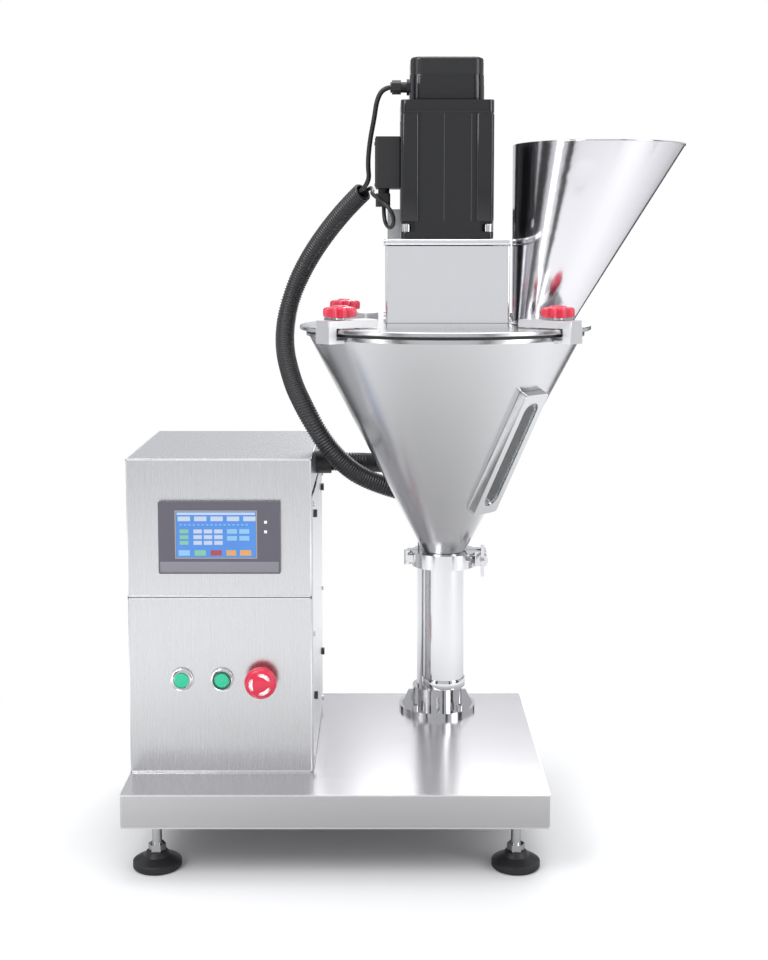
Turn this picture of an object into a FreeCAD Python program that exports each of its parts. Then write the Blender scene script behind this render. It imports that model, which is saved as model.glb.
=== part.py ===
"""Tabletop auger powder filler: millimetres, +Z up, front towards -Y.

The origin lies on the surface the feet stand on, under the middle of the machine's outline.
"""
import FreeCAD, Part
import math
import os
from FreeCAD import Vector as V

os.makedirs("parts", exist_ok=True)

# ---- driving sizes ----
foot_height = 67.0            # underside of the base above the floor
base_width, base_depth, base_height = 517.0, 389.0, 42.0
sheet = 1.5                   # thin sheet of cabinet and head box
base_sheet = 2.0
lip = 14.0                    # return lip under the base tray
cabinet_width, cabinet_depth, cabinet_height = 228.0, 265.0, 396.0
cabinet_setback = 76.0        # base front to cabinet front
lower_panel_height = 223.0
axis_from_right = 123.9       # auger axis to the base right edge
axis_setback = 117.0          # base front to the auger axis
post_setback = 329.0          # base front to the post axis
post_radius, post_wall = 29.0, 3.0
post_top = 690.0              # above the base top
tube_radius, tube_wall = 25.4, 1.65
tube_bottom = 100.0           # above the base top
collar_height = 11.0
cone_bottom, cone_top = 265.0, 548.0     # above the base top
rim_radius, cone_wall = 172.0, 1.5
ferrule_radius, ferrule_thick = 32.0, 3.0
lid_radius, lid_thick = 180.0, 5.0
gasket_thick = 4.0
box_width, box_depth, box_height = 148.0, 226.0, 105.0
box_front = 74.0              # auger axis to the head box's front
cover_height = 8.0
motor_side, motor_height = 110.0, 165.0
flange_height = 9.0
cap_side, cap_height = 88.0, 52.0
chute_bottom_radius, chute_top_radius, chute_height = 37.0, 105.0, 220.0
chute_gap = 9.0               # head box side to the chute's upright side
chute_wall = 1.5
shaft_radius = 6.0
flight_radius = 22.6
flight_pitch, flight_thick = 34.0, 3.0
running = 0.05                # radial clearance of a turning shaft
clear = 0.3                   # gap between pieces that do not clamp each other
rod_radius = 6.0              # levelling screw
pad_radius = 30.0
pad_height = 20.0
clamp_radius = 166.0          # auger axis to the clamp studs
clamp_angles = (220, 320, 140, 40)
bar_length, bar_width, bar_height = 74.0, 25.0, 9.0
bar_slide = 16.0
bar_lift = 1.5                # bar's underside above the lid
knob_radius, knob_height = 20.0, 17.0
hose_radius, cable_radius, lead_radius = 12.5, 3.0, 2.5

# ---- places worked out from the sizes ----
axis_from_left = base_width - axis_from_right
chute_tip = box_width / 2 + chute_gap + 2 * chute_top_radius
base_left = -(axis_from_left + chute_tip) / 2
base_x = base_left + base_width / 2
base_front = (lid_radius - axis_setback - base_depth) / 2
base_back = base_front + base_depth
base_top = foot_height + base_height
ax, ay = base_left + axis_from_left, base_front + axis_setback
post_y = base_front + post_setback
cab_left, cab_right = base_left, base_left + cabinet_width
cab_front = base_front + cabinet_setback
cab_back = cab_front + cabinet_depth
cab_top = base_top + cabinet_height
rim_z = base_top + cone_top
gasket_z = rim_z + 2.0
lid_z = gasket_z + gasket_thick
box_z = lid_z + lid_thick
cover_z = box_z + box_height - cover_height
motor_z = box_z + box_height
cap_z = motor_z + motor_height
ferrule_z = base_top + cone_bottom
tube_z = base_top + tube_bottom


def box(x0, x1, y0, y1, z0, z1):
    return Part.makeBox(x1 - x0, y1 - y0, z1 - z0, V(x0, y0, z0))


def rod(r, h, x, y, z, d=(0, 0, 1)):
    return Part.makeCylinder(r, h, V(x, y, z), V(*d))


def ring(r_out, r_in, h, x, y, z, d=(0, 0, 1)):
    dv = V(*d)
    return rod(r_out, h, x, y, z, d).cut(Part.makeCylinder(r_in, h + 2, V(x, y, z) - dv, dv))


def hexagon(flats, h, x, y, z, d=(0, 0, 1)):
    """Six-sided prism along d."""
    r = flats / math.sqrt(3)
    pts = [V(r * math.cos(math.radians(a)), r * math.sin(math.radians(a)), 0) for a in range(0, 361, 60)]
    prism = Part.Face(Part.makePolygon(pts)).extrude(V(0, 0, h))
    turn = FreeCAD.Rotation(V(0, 0, 1), V(*d))
    prism.Placement = FreeCAD.Placement(V(x, y, z), turn)
    return prism


def fuse(*shapes):
    body = shapes[0]
    for s in shapes[1:]:
        body = body.fuse(s)
    return body.removeSplitter()


def cut(body, *tools):
    for t in tools:
        body = body.cut(t)
    return body


def vertical_edges(s):
    return [e for e in s.Edges if abs(e.tangentAt(e.FirstParameter).z) > 0.99 and e.Length > 3]


def turned(points, x, y):
    """Solid of revolution about the vertical line through x, y, from (radius, z) points."""
    wire = Part.makePolygon([V(r, 0, z) for r, z in points] + [V(points[0][0], 0, points[0][1])])
    body = Part.Face(wire).revolve(V(0, 0, 0), V(0, 0, 1), 360)
    body.translate(V(x, y, 0))
    return body


def placed(s, angle, x=0.0, y=0.0, z=0.0):
    s = s.copy()
    s.rotate(V(0, 0, 0), V(0, 0, 1), angle)
    s.translate(V(x, y, z))
    return s


def export(node, *shapes):
    solid = shapes[0] if len(shapes) == 1 else Part.makeCompound(list(shapes))
    solid.exportStep("parts/%s.step" % node)


# ---- base tray, foot plates and levelling feet ----
foot_inset_x, foot_inset_y = 36.5, 48.0
foot_places = [(base_left + foot_inset_x, base_front + foot_inset_y),
               (base_left + base_width - foot_inset_x, base_front + foot_inset_y),
               (base_left + foot_inset_x, base_back - foot_inset_y),
               (base_left + base_width - foot_inset_x, base_back - foot_inset_y)]
plate_side, plate_t = 70.0, 5.0
plate_screw = 26.0            # foot axis to each of the plate's screws
flange_radius, flange_thick = 54.0, 7.0
bolt_circle = 44.0
bolt_hole = 3.2
rod_hole = rod_radius + 0.25
flange_bolts = [(ax + bolt_circle * math.cos(a), post_y + bolt_circle * math.sin(a))
                for a in [math.radians(45 + 90 * i) for i in range(4)]]
nut_flats, nut_height = 19.0, 9.0
screw_seat = 8.0              # screw's end above the floor
screw_rise = 26.0             # screw's top above the base's underside


def base_tray():
    tray = box(base_left, base_left + base_width, base_front, base_back, foot_height, base_top)
    tray = tray.makeFillet(3.0, vertical_edges(tray))
    inner = box(base_left + base_sheet, base_left + base_width - base_sheet, base_front + base_sheet,
                base_back - base_sheet, foot_height + base_sheet, base_top - base_sheet)
    mouth = box(base_left + lip, base_left + base_width - lip, base_front + lip, base_back - lip,
                foot_height - 1, foot_height + base_sheet + 1)
    tray = cut(tray, inner, mouth)
    return cut(tray, *[rod(bolt_hole, 20, x, y, base_top - 10) for x, y in flange_bolts])


def foot_plate(x, y):
    """Corner plate that spans the lip and carries the foot; its boss takes the screw."""
    plate = box(x - plate_side / 2, x + plate_side / 2, y - plate_side / 2, y + plate_side / 2,
                foot_height - plate_t, foot_height)
    plate = plate.makeFillet(4.0, vertical_edges(plate))
    return plate.cut(rod(rod_hole, 40, x, y, foot_height - 20))


def foot_pad(x, y):
    """Cup foot: flat rim, cone and boss, with a blind seat for the screw's end."""
    pts = [(0, 0), (pad_radius - 1.5, 0), (pad_radius, 1.5), (pad_radius, 8), (pad_radius - 2, 9.5),
           (17, 15), (13, pad_height), (rod_radius + running, pad_height), (rod_radius + running, screw_seat),
           (0, screw_seat)]
    return turned(pts, x, y)


def foot_stud(x, y):
    """Levelling screw with its fixed hexagon, and the lock nut under the plate."""
    screw = rod(rod_radius, foot_height - screw_seat + screw_rise, x, y, screw_seat)
    screw = screw.fuse(hexagon(nut_flats, nut_height, x, y, pad_height + clear))
    nut = hexagon(nut_flats, nut_height, x, y, foot_height - plate_t - nut_height - clear)
    nut = nut.cut(rod(rod_radius, 40, x, y, 30))
    return [screw, nut]


export("base_tray", base_tray())
export("foot_plates", *[foot_plate(x, y) for x, y in foot_places])
export("foot_pads", *[foot_pad(x, y) for x, y in foot_places])
foot_names = ("front_left", "front_right", "rear_left", "rear_right")
for name, (x, y) in zip(foot_names, foot_places):
    export("foot_stud_" + name, *foot_stud(x, y))

# ---- control cabinet ----
seam = 0.8
seam_z = base_top + lower_panel_height
flange_in = 12.0
hmi_width, hmi_height, hmi_depth = 150.0, 90.0, 28.0
hmi_from_left, hmi_up = 115.0, 299.0
hmi_x, hmi_z = cab_left + hmi_from_left, base_top + hmi_up
hmi_frame = 6.0               # bezel's overlap on the panel
button_up = 119.0
button_from_left = (66.0, 116.0, 165.0)
button_z = base_top + button_up
button_x = [cab_left + x for x in button_from_left]
button_hole = 11.0
gland_back, gland_up = 210.0, 372.0
gland_y, gland_z = base_front + gland_back, base_top + gland_up
hose_hole = 10.0
cover_edge, cover_top_gap = 4.0, 48.0
cover_bolt_y, cover_bolt_up = (34.0, 231.0), (88.0, 322.0)
cover_bolt_places = [(cab_front + y, base_top + z) for y in cover_bolt_y for z in cover_bolt_up]
inlet_from_left, inlet_up = 40.0, 50.0
inlet_width, inlet_height, inlet_flange = 30.0, 40.0, 5.0
inlet_x, inlet_z = cab_left + inlet_from_left, base_top + inlet_up


def cabinet_body():
    """Folded wrap: floor, left wall, top and back, with narrow flanges round the front and the right side."""
    outer = box(cab_left, cab_right, cab_front + sheet, cab_back, base_top, cab_top)
    inner = box(cab_left + sheet, cab_right - sheet, cab_front + 2 * sheet, cab_back - sheet,
                base_top + sheet, cab_top - sheet)
    front = box(cab_left + flange_in, cab_right - flange_in, cab_front - 1, cab_front + 3 * sheet,
                base_top + flange_in, cab_top - flange_in)
    side = box(cab_right - 2 * sheet, cab_right + 1, cab_front + flange_in, cab_back - flange_in,
               base_top + flange_in, cab_top - 44)
    gland = rod(hose_hole, 10, cab_right - 5, gland_y, gland_z, (1, 0, 0))
    inlet = box(inlet_x, inlet_x + inlet_width, cab_back - 5, cab_back + 5, inlet_z, inlet_z + inlet_height)
    return cut(outer, inner, front, side, gland, inlet)


def front_panel_lower():
    panel = box(cab_left, cab_right, cab_front, cab_front + sheet, base_top, seam_z - seam / 2)
    return cut(panel, *[rod(button_hole, 10, x, cab_front - 5, button_z, (0, 1, 0)) for x in button_x])


def hmi_block(inset, y0, y1):
    """Block as wide and high as the touch panel, less an inset all round."""
    half_w, half_h = hmi_width / 2 - inset, hmi_height / 2 - inset
    return box(hmi_x - half_w, hmi_x + half_w, y0, y1, hmi_z - half_h, hmi_z + half_h)


def front_panel_upper():
    panel = box(cab_left, cab_right, cab_front, cab_front + sheet, seam_z + seam / 2, cab_top)
    return panel.cut(hmi_block(hmi_frame, cab_front - 5, cab_front + 5))


def side_cover():
    """Removable plate over the right side, under the hose gland."""
    plate = box(cab_right, cab_right + sheet, cab_front + cover_edge, cab_back - cover_edge,
                base_top + cover_edge, cab_top - cover_top_gap)
    return cut(plate, *[rod(2.5, 10, cab_right - 5, y, z, (1, 0, 0)) for y, z in cover_bolt_places])


hmi_rise = 6.0                # bezel's face in front of the panel
hmi_top = cab_front - hmi_rise
screen_width, screen_height, screen_deep = 98.0, 57.0, 2.0
screen_shift = 4.0            # screen's middle left of and above the bezel's
screen_x, screen_z = hmi_x - screen_shift, hmi_z + screen_shift


def screen_block(y0):
    return box(screen_x - screen_width / 2, screen_x + screen_width / 2, y0, hmi_top + screen_deep,
               screen_z - screen_height / 2, screen_z + screen_height / 2)


def hmi_bezel():
    rim = hmi_block(0, hmi_top, cab_front)
    rim = rim.makeFillet(2.0, [e for e in rim.Edges if abs(e.tangentAt(e.FirstParameter).y) > 0.99])
    back = hmi_block(hmi_frame + clear, cab_front, cab_front + hmi_depth)
    return fuse(rim, back).cut(screen_block(hmi_top - 1))


bezel_radius, bezel_front = 14.5, 4.0
barrel_radius = button_hole - 0.2
barrel_length = 22.0
block_width, block_depth, block_height = 30.0, 40.0, 40.0
plunger_radius = 9.0
plunger_rise, plunger_back = 2.5, 14.0    # in front of the ring, and behind the panel's face
mushroom_radius, stem_radius = 20.0, 6.0
head_thick, head_socket, stem_back = 12.0, 6.0, 20.0
head_back = 12.0               # mushroom's back in front of the panel


def button_bezel(x):
    """Ring on the panel's face with a threaded barrel that passes through the panel."""
    ring_part = ring(bezel_radius, plunger_radius + running, bezel_front, x, cab_front - bezel_front,
                     button_z, (0, 1, 0))
    barrel = ring(barrel_radius, plunger_radius + running, barrel_length, x, cab_front, button_z, (0, 1, 0))
    return fuse(ring_part, barrel)


def stop_collar(x):
    collar = ring(bezel_radius, stem_radius + running, bezel_front, x, cab_front - bezel_front,
                  button_z, (0, 1, 0))
    barrel = ring(barrel_radius, stem_radius + running, barrel_length, x, cab_front, button_z, (0, 1, 0))
    return fuse(collar, barrel)


def plunger(x):
    face = cab_front - bezel_front - plunger_rise
    body = rod(plunger_radius, cab_front + plunger_back - face, x, face, button_z, (0, 1, 0))
    edge = [e for e in body.Edges if abs(e.CenterOfMass.y - face) < 0.01]
    return body.makeFillet(1.2, edge)


def mushroom(x):
    """Emergency stop head with a blind socket over the stem's end."""
    y0 = cab_front - head_back
    head = rod(mushroom_radius, head_thick, x, y0 - head_thick, button_z, (0, 1, 0))
    front = [e for e in head.Edges if abs(e.CenterOfMass.y - (y0 - head_thick)) < 0.01]
    head = head.makeFillet(4.0, front)
    skirt = rod(mushroom_radius - 6, 3, x, y0, button_z, (0, 1, 0))
    socket = rod(stem_radius + running, head_socket + 3, x, y0 - head_socket, button_z, (0, 1, 0))
    return fuse(head, skirt).cut(socket)


def estop_stem(x):
    front = cab_front - head_back - head_socket + clear
    return rod(stem_radius, cab_front + stem_back - front, x, front, button_z, (0, 1, 0))


def contact_block(x):
    """Switch block clipped on the barrel's end, open in front for the plunger."""
    half_w, half_h, front = block_width / 2, block_height / 2, cab_front + barrel_length
    block = box(x - half_w, x + half_w, front, front + block_depth, button_z - half_h, button_z + half_h)
    return block.cut(rod(plunger_radius + 0.5, 12, x, front - 2, button_z, (0, 1, 0)))


export("cabinet_body", cabinet_body())
export("front_panel_lower", front_panel_lower())
export("front_panel_upper", front_panel_upper())
export("side_cover", side_cover())
export("hmi_bezel", hmi_bezel())
export("hmi_screen", screen_block(hmi_top + 0.4))
export("button_bezels", button_bezel(button_x[0]), button_bezel(button_x[1]), stop_collar(button_x[2]))
export("button_start", plunger(button_x[0]))
export("button_run", plunger(button_x[1]))
export("estop_stem", estop_stem(button_x[2]))
export("estop_head", mushroom(button_x[2]))
export("contact_blocks", *[contact_block(x) for x in button_x])
export("cover_bolts", *[fuse(rod(5, 4, cab_right + sheet, y, z, (1, 0, 0)),
                             rod(2.4, sheet, cab_right, y, z, (1, 0, 0))) for y, z in cover_bolt_places])

drive_w, drive_d, drive_h = 55.0, 130.0, 170.0
drive_x, drive_z = cab_left + 120.0, base_top + 60.0
back_face = cab_back - sheet
export("servo_drive", box(drive_x, drive_x + drive_w, back_face - drive_d, back_face,
                          drive_z, drive_z + drive_h))


def inlet_block(inset_x, inset_z, y0, y1):
    return box(inlet_x + inset_x, inlet_x + inlet_width - inset_x, y0, y1,
               inlet_z + inset_z, inlet_z + inlet_height - inset_z)


export("power_inlet", fuse(inlet_block(-inlet_flange, -inlet_flange, cab_back, cab_back + 4),
                           inlet_block(clear, clear, cab_back - 25, cab_back)).cut(
    inlet_block(4, 11, cab_back - 14, cab_back + 5)))

# ---- post, head box and bracket ----
socket_radius, socket_height = post_radius + 6.0, 34.0
arm_z0, arm_z1 = box_z + 8, box_z + 78
arm_half = 46.0
plate_half, plate_thick, plate_top = 71.0, 6.0, box_z + 146.0
box_y0, box_y1 = ay - box_front, ay - box_front + box_depth
arm_back = post_y + post_radius + 14


def post_flange():
    disc = rod(flange_radius, flange_thick, ax, post_y, base_top)
    socket = rod(socket_radius, socket_height, ax, post_y, base_top)
    foot = fuse(disc, socket)
    web_end = flange_radius - 3.9
    for i in range(4):
        web = box(socket_radius - 2, web_end - 0.1, -2, 2, flange_thick - 1, socket_height - 8)
        corner = Part.makePolygon([V(web_end, -3, flange_thick), V(web_end, -3, socket_height),
                                   V(socket_radius + 2, -3, socket_height), V(web_end, -3, flange_thick)])
        web = web.cut(Part.Face(corner).extrude(V(0, 6, 0)))
        foot = foot.fuse(placed(web, 90 * i, ax, post_y, base_top))
    foot = foot.removeSplitter()
    foot = foot.cut(rod(post_radius, 60, ax, post_y, base_top + 2))
    return cut(foot, *[rod(bolt_hole, 20, x, y, base_top - 5) for x, y in flange_bolts])


def post_tube():
    return ring(post_radius, post_radius - post_wall, post_top - 2, ax, post_y, base_top + 2)


def head_bracket():
    """Upright plate behind the head box, with a bored block that holds the post."""
    plate = box(ax - plate_half, ax + plate_half, box_y1, box_y1 + plate_thick, box_z, plate_top)
    block = box(ax - arm_half, ax + arm_half, box_y1 + plate_thick, arm_back, arm_z0, arm_z1)
    block = block.makeFillet(8.0, [e for e in vertical_edges(block) if e.CenterOfMass.y > arm_back - 1])
    arm = fuse(plate, block).cut(rod(post_radius, 120, ax, post_y, arm_z0 - 20))
    slit = box(ax - 1.5, ax + 1.5, post_y, arm_back + 5, arm_z0 - 5, arm_z1 + 5)
    return arm.cut(slit)


def head_box():
    """Four walls and a floor of folded sheet, open on top."""
    outer = box(ax - box_width / 2, ax + box_width / 2, box_y0, box_y1, box_z, cover_z)
    outer = outer.makeFillet(3.0, vertical_edges(outer))
    inner = box(ax - box_width / 2 + sheet, ax + box_width / 2 - sheet, box_y0 + sheet, box_y1 - sheet,
                box_z + sheet, cover_z + 1)
    return outer.cut(inner).cut(rod(31.0, 20, ax, ay, box_z - 10))


def head_box_cover():
    """Thick top plate that the motor is bolted to."""
    top = box(ax - box_width / 2, ax + box_width / 2, box_y0, box_y1, cover_z, motor_z)
    top = top.makeFillet(3.0, vertical_edges(top))
    return top.cut(rod(28.0, 40, ax, ay, cover_z - 10))


export("post_flange", post_flange())
export("post_tube", post_tube())
export("head_bracket", head_bracket())
export("head_box", head_box())
export("head_box_cover", head_box_cover())

# ---- motor ----
motor_bolt = 49.0
motor_shaft_radius = 9.0
rib = 33.0                    # motor's middle to the grooves beside its corner columns
corner_cut = 10.0


def motor_body():
    """Square motor with notched corners above a full square flange, and its pilot in the cover plate."""
    h = motor_side / 2
    flange = box(ax - h, ax + h, ay - h, ay + h, motor_z, motor_z + flange_height)
    flange = flange.makeFillet(6.0, vertical_edges(flange))
    core = box(ax - h, ax + h, ay - h, ay + h, motor_z + flange_height, cap_z)
    core = core.makeFillet(5.0, vertical_edges(core))
    nook = [box(ax + sx * h - corner_cut - 6, ax + sx * h + corner_cut + 6, ay + sy * h - corner_cut - 6,
                ay + sy * h + corner_cut + 6, motor_z + flange_height, motor_z + flange_height + 12)
            for sx in (-1, 1) for sy in (-1, 1)]
    groove = [box(ax + s * rib - 1.5, ax + s * rib + 1.5, ay + t * h - 1.5, ay + t * h + 1.5,
                  motor_z + flange_height + 12, cap_z) for s in (-1, 1) for t in (-1, 1)]
    side_groove = [box(ax + t * h - 1.5, ax + t * h + 1.5, ay + s * rib - 1.5, ay + s * rib + 1.5,
                       motor_z + flange_height + 12, cap_z) for s in (-1, 1) for t in (-1, 1)]
    pilot = rod(27.5, cover_height - 1, ax, ay, motor_z - cover_height + 1)
    holes = [rod(3.3, 30, ax + sx * motor_bolt, ay + sy * motor_bolt, motor_z - 10)
             for sx in (-1, 1) for sy in (-1, 1)]
    bore = rod(motor_shaft_radius + running, 24, ax, ay, motor_z - 10)
    return cut(fuse(flange, core, pilot), *(nook + groove + side_groove + [bore] + holes))


def encoder_cap():
    half = cap_side / 2
    cap = box(ax - half, ax + half, ay - half, ay + half, cap_z, cap_z + cap_height)
    cap = cap.makeFillet(14.0, vertical_edges(cap))
    top = [e for e in cap.Edges if abs(e.CenterOfMass.z - (cap_z + cap_height)) < 0.01]
    return cap.makeFillet(4.0, top)


conn_w, conn_d, conn_z0, conn_z1 = 31.0, 50.0, motor_z + 62.0, motor_z + 124.0
conn_x1 = ax - motor_side / 2
clamp_gland_x = conn_x1 - 21.0
encoder_gland_z = cap_z + 20.0
encoder_gland_x = ax - cap_side / 2


def connector_box():
    body = box(conn_x1 - conn_w, conn_x1, ay - conn_d / 2, ay + conn_d / 2, conn_z0, conn_z1)
    return body.makeFillet(2.5, vertical_edges(body))


def gland_clamp():
    """Saddle cable clamp under the connector box."""
    neck = rod(7.0, 7.0, clamp_gland_x, ay, conn_z0 - 7)
    jaw = box(clamp_gland_x - 10, clamp_gland_x + 8, ay - 11, ay + 11, conn_z0 - 22, conn_z0 - 6)
    return fuse(neck, jaw.makeFillet(3.0, vertical_edges(jaw)))


def gland_encoder():
    d = (-1, 0, 0)
    collar = hexagon(17, 4, encoder_gland_x, ay, encoder_gland_z, d)
    body = rod(6.5, 24, encoder_gland_x, ay, encoder_gland_z, d)
    nut = hexagon(15, 11, encoder_gland_x - 11, ay, encoder_gland_z, d)
    return fuse(collar, body, nut)


def gland_hose():
    """Conduit gland: nut inside the wall, flange and sleeve outside."""
    neck = rod(hose_hole - clear, sheet + 0.2, cab_right - sheet - 0.1, gland_y, gland_z, (1, 0, 0))
    sleeve = rod(15.0, 20, cab_right, gland_y, gland_z, (1, 0, 0))
    nut = hexagon(26, 6, cab_right - sheet - 6, gland_y, gland_z, (1, 0, 0))
    return fuse(neck, sleeve, nut)


export("motor_body", motor_body())
export("encoder_cap", encoder_cap())
export("connector_box", connector_box())
export("cable_glands", gland_clamp(), gland_encoder(), gland_hose())

# ---- turning drive train ----
coupling_radius, coupling_height = 20.0, 44.0
coupling_z = cover_z - coupling_height
shaft_top = coupling_z + 20.0
motor_shaft_bottom = shaft_top + 2.0
flight_bottom = tube_z - 3.0
flight_top = ferrule_z + 40.0


def flight():
    """Helical blade, swept as a thin rectangle along the shaft."""
    path = Part.makeHelix(flight_pitch, flight_top - flight_bottom - flight_thick, shaft_radius)
    outline = Part.makePolygon([V(shaft_radius - 1, 0, 0), V(flight_radius, 0, 0),
                                V(flight_radius, 0, flight_thick), V(shaft_radius - 1, 0, flight_thick),
                                V(shaft_radius - 1, 0, 0)])
    blade = Part.Wire(path).makePipeShell([outline], True, True)
    blade.translate(V(ax, ay, flight_bottom))
    return blade


def auger_screw():
    shaft = rod(shaft_radius, shaft_top - flight_bottom, ax, ay, flight_bottom)
    return shaft.fuse(flight())


def shaft_coupling():
    body = rod(coupling_radius, coupling_height, ax, ay, coupling_z)
    lower = rod(shaft_radius, coupling_height, ax, ay, coupling_z - 22)
    upper = rod(motor_shaft_radius, coupling_height, ax, ay, motor_shaft_bottom - 1)
    slot = box(ax - 30, ax + 30, ay - 0.6, ay + 0.6, coupling_z + 6, coupling_z + 10)
    return cut(body, lower, rod(shaft_radius, 60, ax, ay, coupling_z - 5), upper, slot)


def stirrer():
    """Two bent blades that follow the cone's wall, on a hub clamped to the shaft."""
    hub_z = rim_z - 40
    hub = rod(16, 26, ax, ay, hub_z)
    arms = []
    slope = (rim_radius - ferrule_radius + 7) / (cone_top - cone_bottom)
    reach, low_z = 112.0, -170.0
    foot_x = reach + low_z * slope
    for side in (-1, 1):
        arm = box(0, reach, -4, 4, 8, 18)
        blade = Part.makePolygon([V(reach - 8, -3, 18), V(reach + 4, -3, 18), V(foot_x + 4, -3, low_z),
                                  V(foot_x - 8, -3, low_z), V(reach - 8, -3, 18)])
        blade = Part.Face(blade).extrude(V(0, 6, 0))
        foot = box(16 - 4, foot_x, -3, 3, low_z, low_z + 12)
        arms.append(placed(arm.fuse(blade).fuse(foot), 0 if side > 0 else 180, ax, ay, hub_z))
    lower_hub = rod(14, 14, ax, ay, hub_z - 171)
    s = fuse(hub, lower_hub, *arms)
    return s.cut(rod(shaft_radius, 300, ax, ay, hub_z - 200))


def bearing(z):
    """Flanged bearing unit on the floor of the head box."""
    body = rod(26.0, 14, ax, ay, z).fuse(rod(38.0, 6, ax, ay, z))
    return body.cut(rod(shaft_radius + running, 40, ax, ay, z - 10))


export("auger_screw", auger_screw())
export("shaft_coupling", shaft_coupling())
export("motor_shaft", rod(motor_shaft_radius, motor_z + 12 - motor_shaft_bottom, ax, ay, motor_shaft_bottom))
export("stirrer", stirrer())
export("bearings", bearing(box_z + sheet))

# ---- lid, gasket, cone hopper and feed chute ----
chute_x = ax + box_width / 2 + chute_gap
chute_hole_x = chute_x + chute_bottom_radius
chute_y = ay


def lid():
    disc = rod(lid_radius, lid_thick, ax, ay, lid_z)
    disc = disc.makeChamfer(0.8, [e for e in disc.Edges if e.Length > 500])
    shaft_hole = rod(shaft_radius + 2.0, 20, ax, ay, lid_z - 5)
    feed_hole = rod(chute_bottom_radius - chute_wall, 20, chute_hole_x, chute_y, lid_z - 5)
    return cut(disc, shaft_hole, feed_hole)


rim_low = rim_z - 1.0         # underside of the cone's rim


def cone_profile():
    """Outer wall, inner wall and rim flange as (radius, z) points."""
    neck = tube_radius
    return [(neck, ferrule_z), (ferrule_radius, ferrule_z), (ferrule_radius, ferrule_z + ferrule_thick),
            (neck + 1.0, ferrule_z + ferrule_thick), (neck + 1.0, ferrule_z + 8),
            (rim_radius - 4, rim_z - 3), (rim_radius - 4, rim_low), (rim_radius, rim_low),
            (rim_radius, rim_z + 2),
            (rim_radius - 16, rim_z + 2), (rim_radius - 16, rim_z - 1), (rim_radius - 4 - 3, rim_z - 3),
            (neck - 1.0, ferrule_z + 8.5), (neck - 1.0, ferrule_z)]


cone_run = (rim_radius - 4) - (tube_radius + 1.0)
cone_rise = (rim_z - 3) - (ferrule_z + 8)
cone_tilt = math.degrees(math.atan2(cone_run, cone_rise))
window_turn = -43.0
window_length, window_width = 172.0, 44.0
glass_length, glass_width = 148.0, 25.0
window_high = 9.0
window_z = ferrule_z + 144.0


def on_cone(s):
    """Takes a piece built on the XY plane, long way along X, onto the cone's outer wall at the window."""
    r = tube_radius + 1.0 + cone_run * (window_z - ferrule_z - 8) / cone_rise
    s = s.copy()
    s.rotate(V(0, 0, 0), V(1, 0, 0), 180)
    s.rotate(V(0, 0, 0), V(0, 1, 0), -(90 - cone_tilt))
    s.translate(V(r, 0, window_z))
    s.rotate(V(0, 0, 0), V(0, 0, 1), window_turn)
    s.translate(V(ax, ay, 0))
    return s


def obround(length, width, h, z):
    mid = box(-(length - width) / 2, (length - width) / 2, -width / 2, width / 2, z, z + h)
    ends = [rod(width / 2, h, s * (length - width) / 2, 0, z) for s in (-1, 1)]
    return fuse(mid, *ends)


def hopper_cone():
    cone = turned(cone_profile(), ax, ay)
    return cone.cut(on_cone(obround(glass_length - 8, glass_width - 8, 80, -40)))


def window_frame():
    plate = box(-window_length / 2, window_length / 2, -window_width / 2, window_width / 2, -24, window_high)
    plate = plate.makeFillet(4.0, [e for e in vertical_edges(plate)])
    plate = plate.cut(obround(glass_length, glass_width, 60, window_high - 4)).cut(
        obround(glass_length - 8, glass_width - 8, 90, -50))
    skin = turned([(0, ferrule_z), (tube_radius + 1.3, ferrule_z), (tube_radius + 1.3, ferrule_z + 8),
                   (rim_radius - 4 + clear, rim_z - 3), (0, rim_z - 3)], ax, ay)
    return on_cone(plate).cut(skin)


def window_pane():
    return on_cone(obround(glass_length - 0.4, glass_width - 0.4, 3.0, window_high - 4))


def feed_chute():
    """Slanted hopper with one upright side, on the lid."""
    def loft(wall, past):
        low = Part.makeCircle(chute_bottom_radius - wall, V(chute_hole_x, chute_y, box_z - past))
        high = Part.makeCircle(chute_top_radius - wall,
                               V(chute_x + chute_top_radius, chute_y, box_z + chute_height + past))
        return Part.makeLoft([Part.Wire(low), Part.Wire(high)], True, True)
    return loft(0, 0).cut(loft(chute_wall, 1))


export("lid", lid())
export("lid_gasket", ring(rim_radius, rim_radius - 14, gasket_thick, ax, ay, gasket_z))
export("hopper_cone", hopper_cone())
export("window_frame", window_frame())
export("window_pane", window_pane())
export("feed_chute", feed_chute())

# ---- auger tube and its hinged clamp ----
clamp_ring_r = 41.0
ring_h = 18.0
joint_z = ferrule_z


def auger_tube():
    tube = ring(tube_radius, tube_radius - tube_wall, joint_z - tube_z, ax, ay, tube_z)
    ferrule = ring(ferrule_radius, tube_radius - tube_wall, ferrule_thick, ax, ay, joint_z - ferrule_thick)
    collar = ring(tube_radius + 1.5, tube_radius - 1, collar_height, ax, ay, tube_z)
    return fuse(tube, ferrule, collar)


pin_x = ax - clamp_ring_r - 5
lug_x = ax + clamp_ring_r + 6
half_gap = 1.0
nut_gap = 1.0                # lets the nut swing clear of the lug


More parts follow.
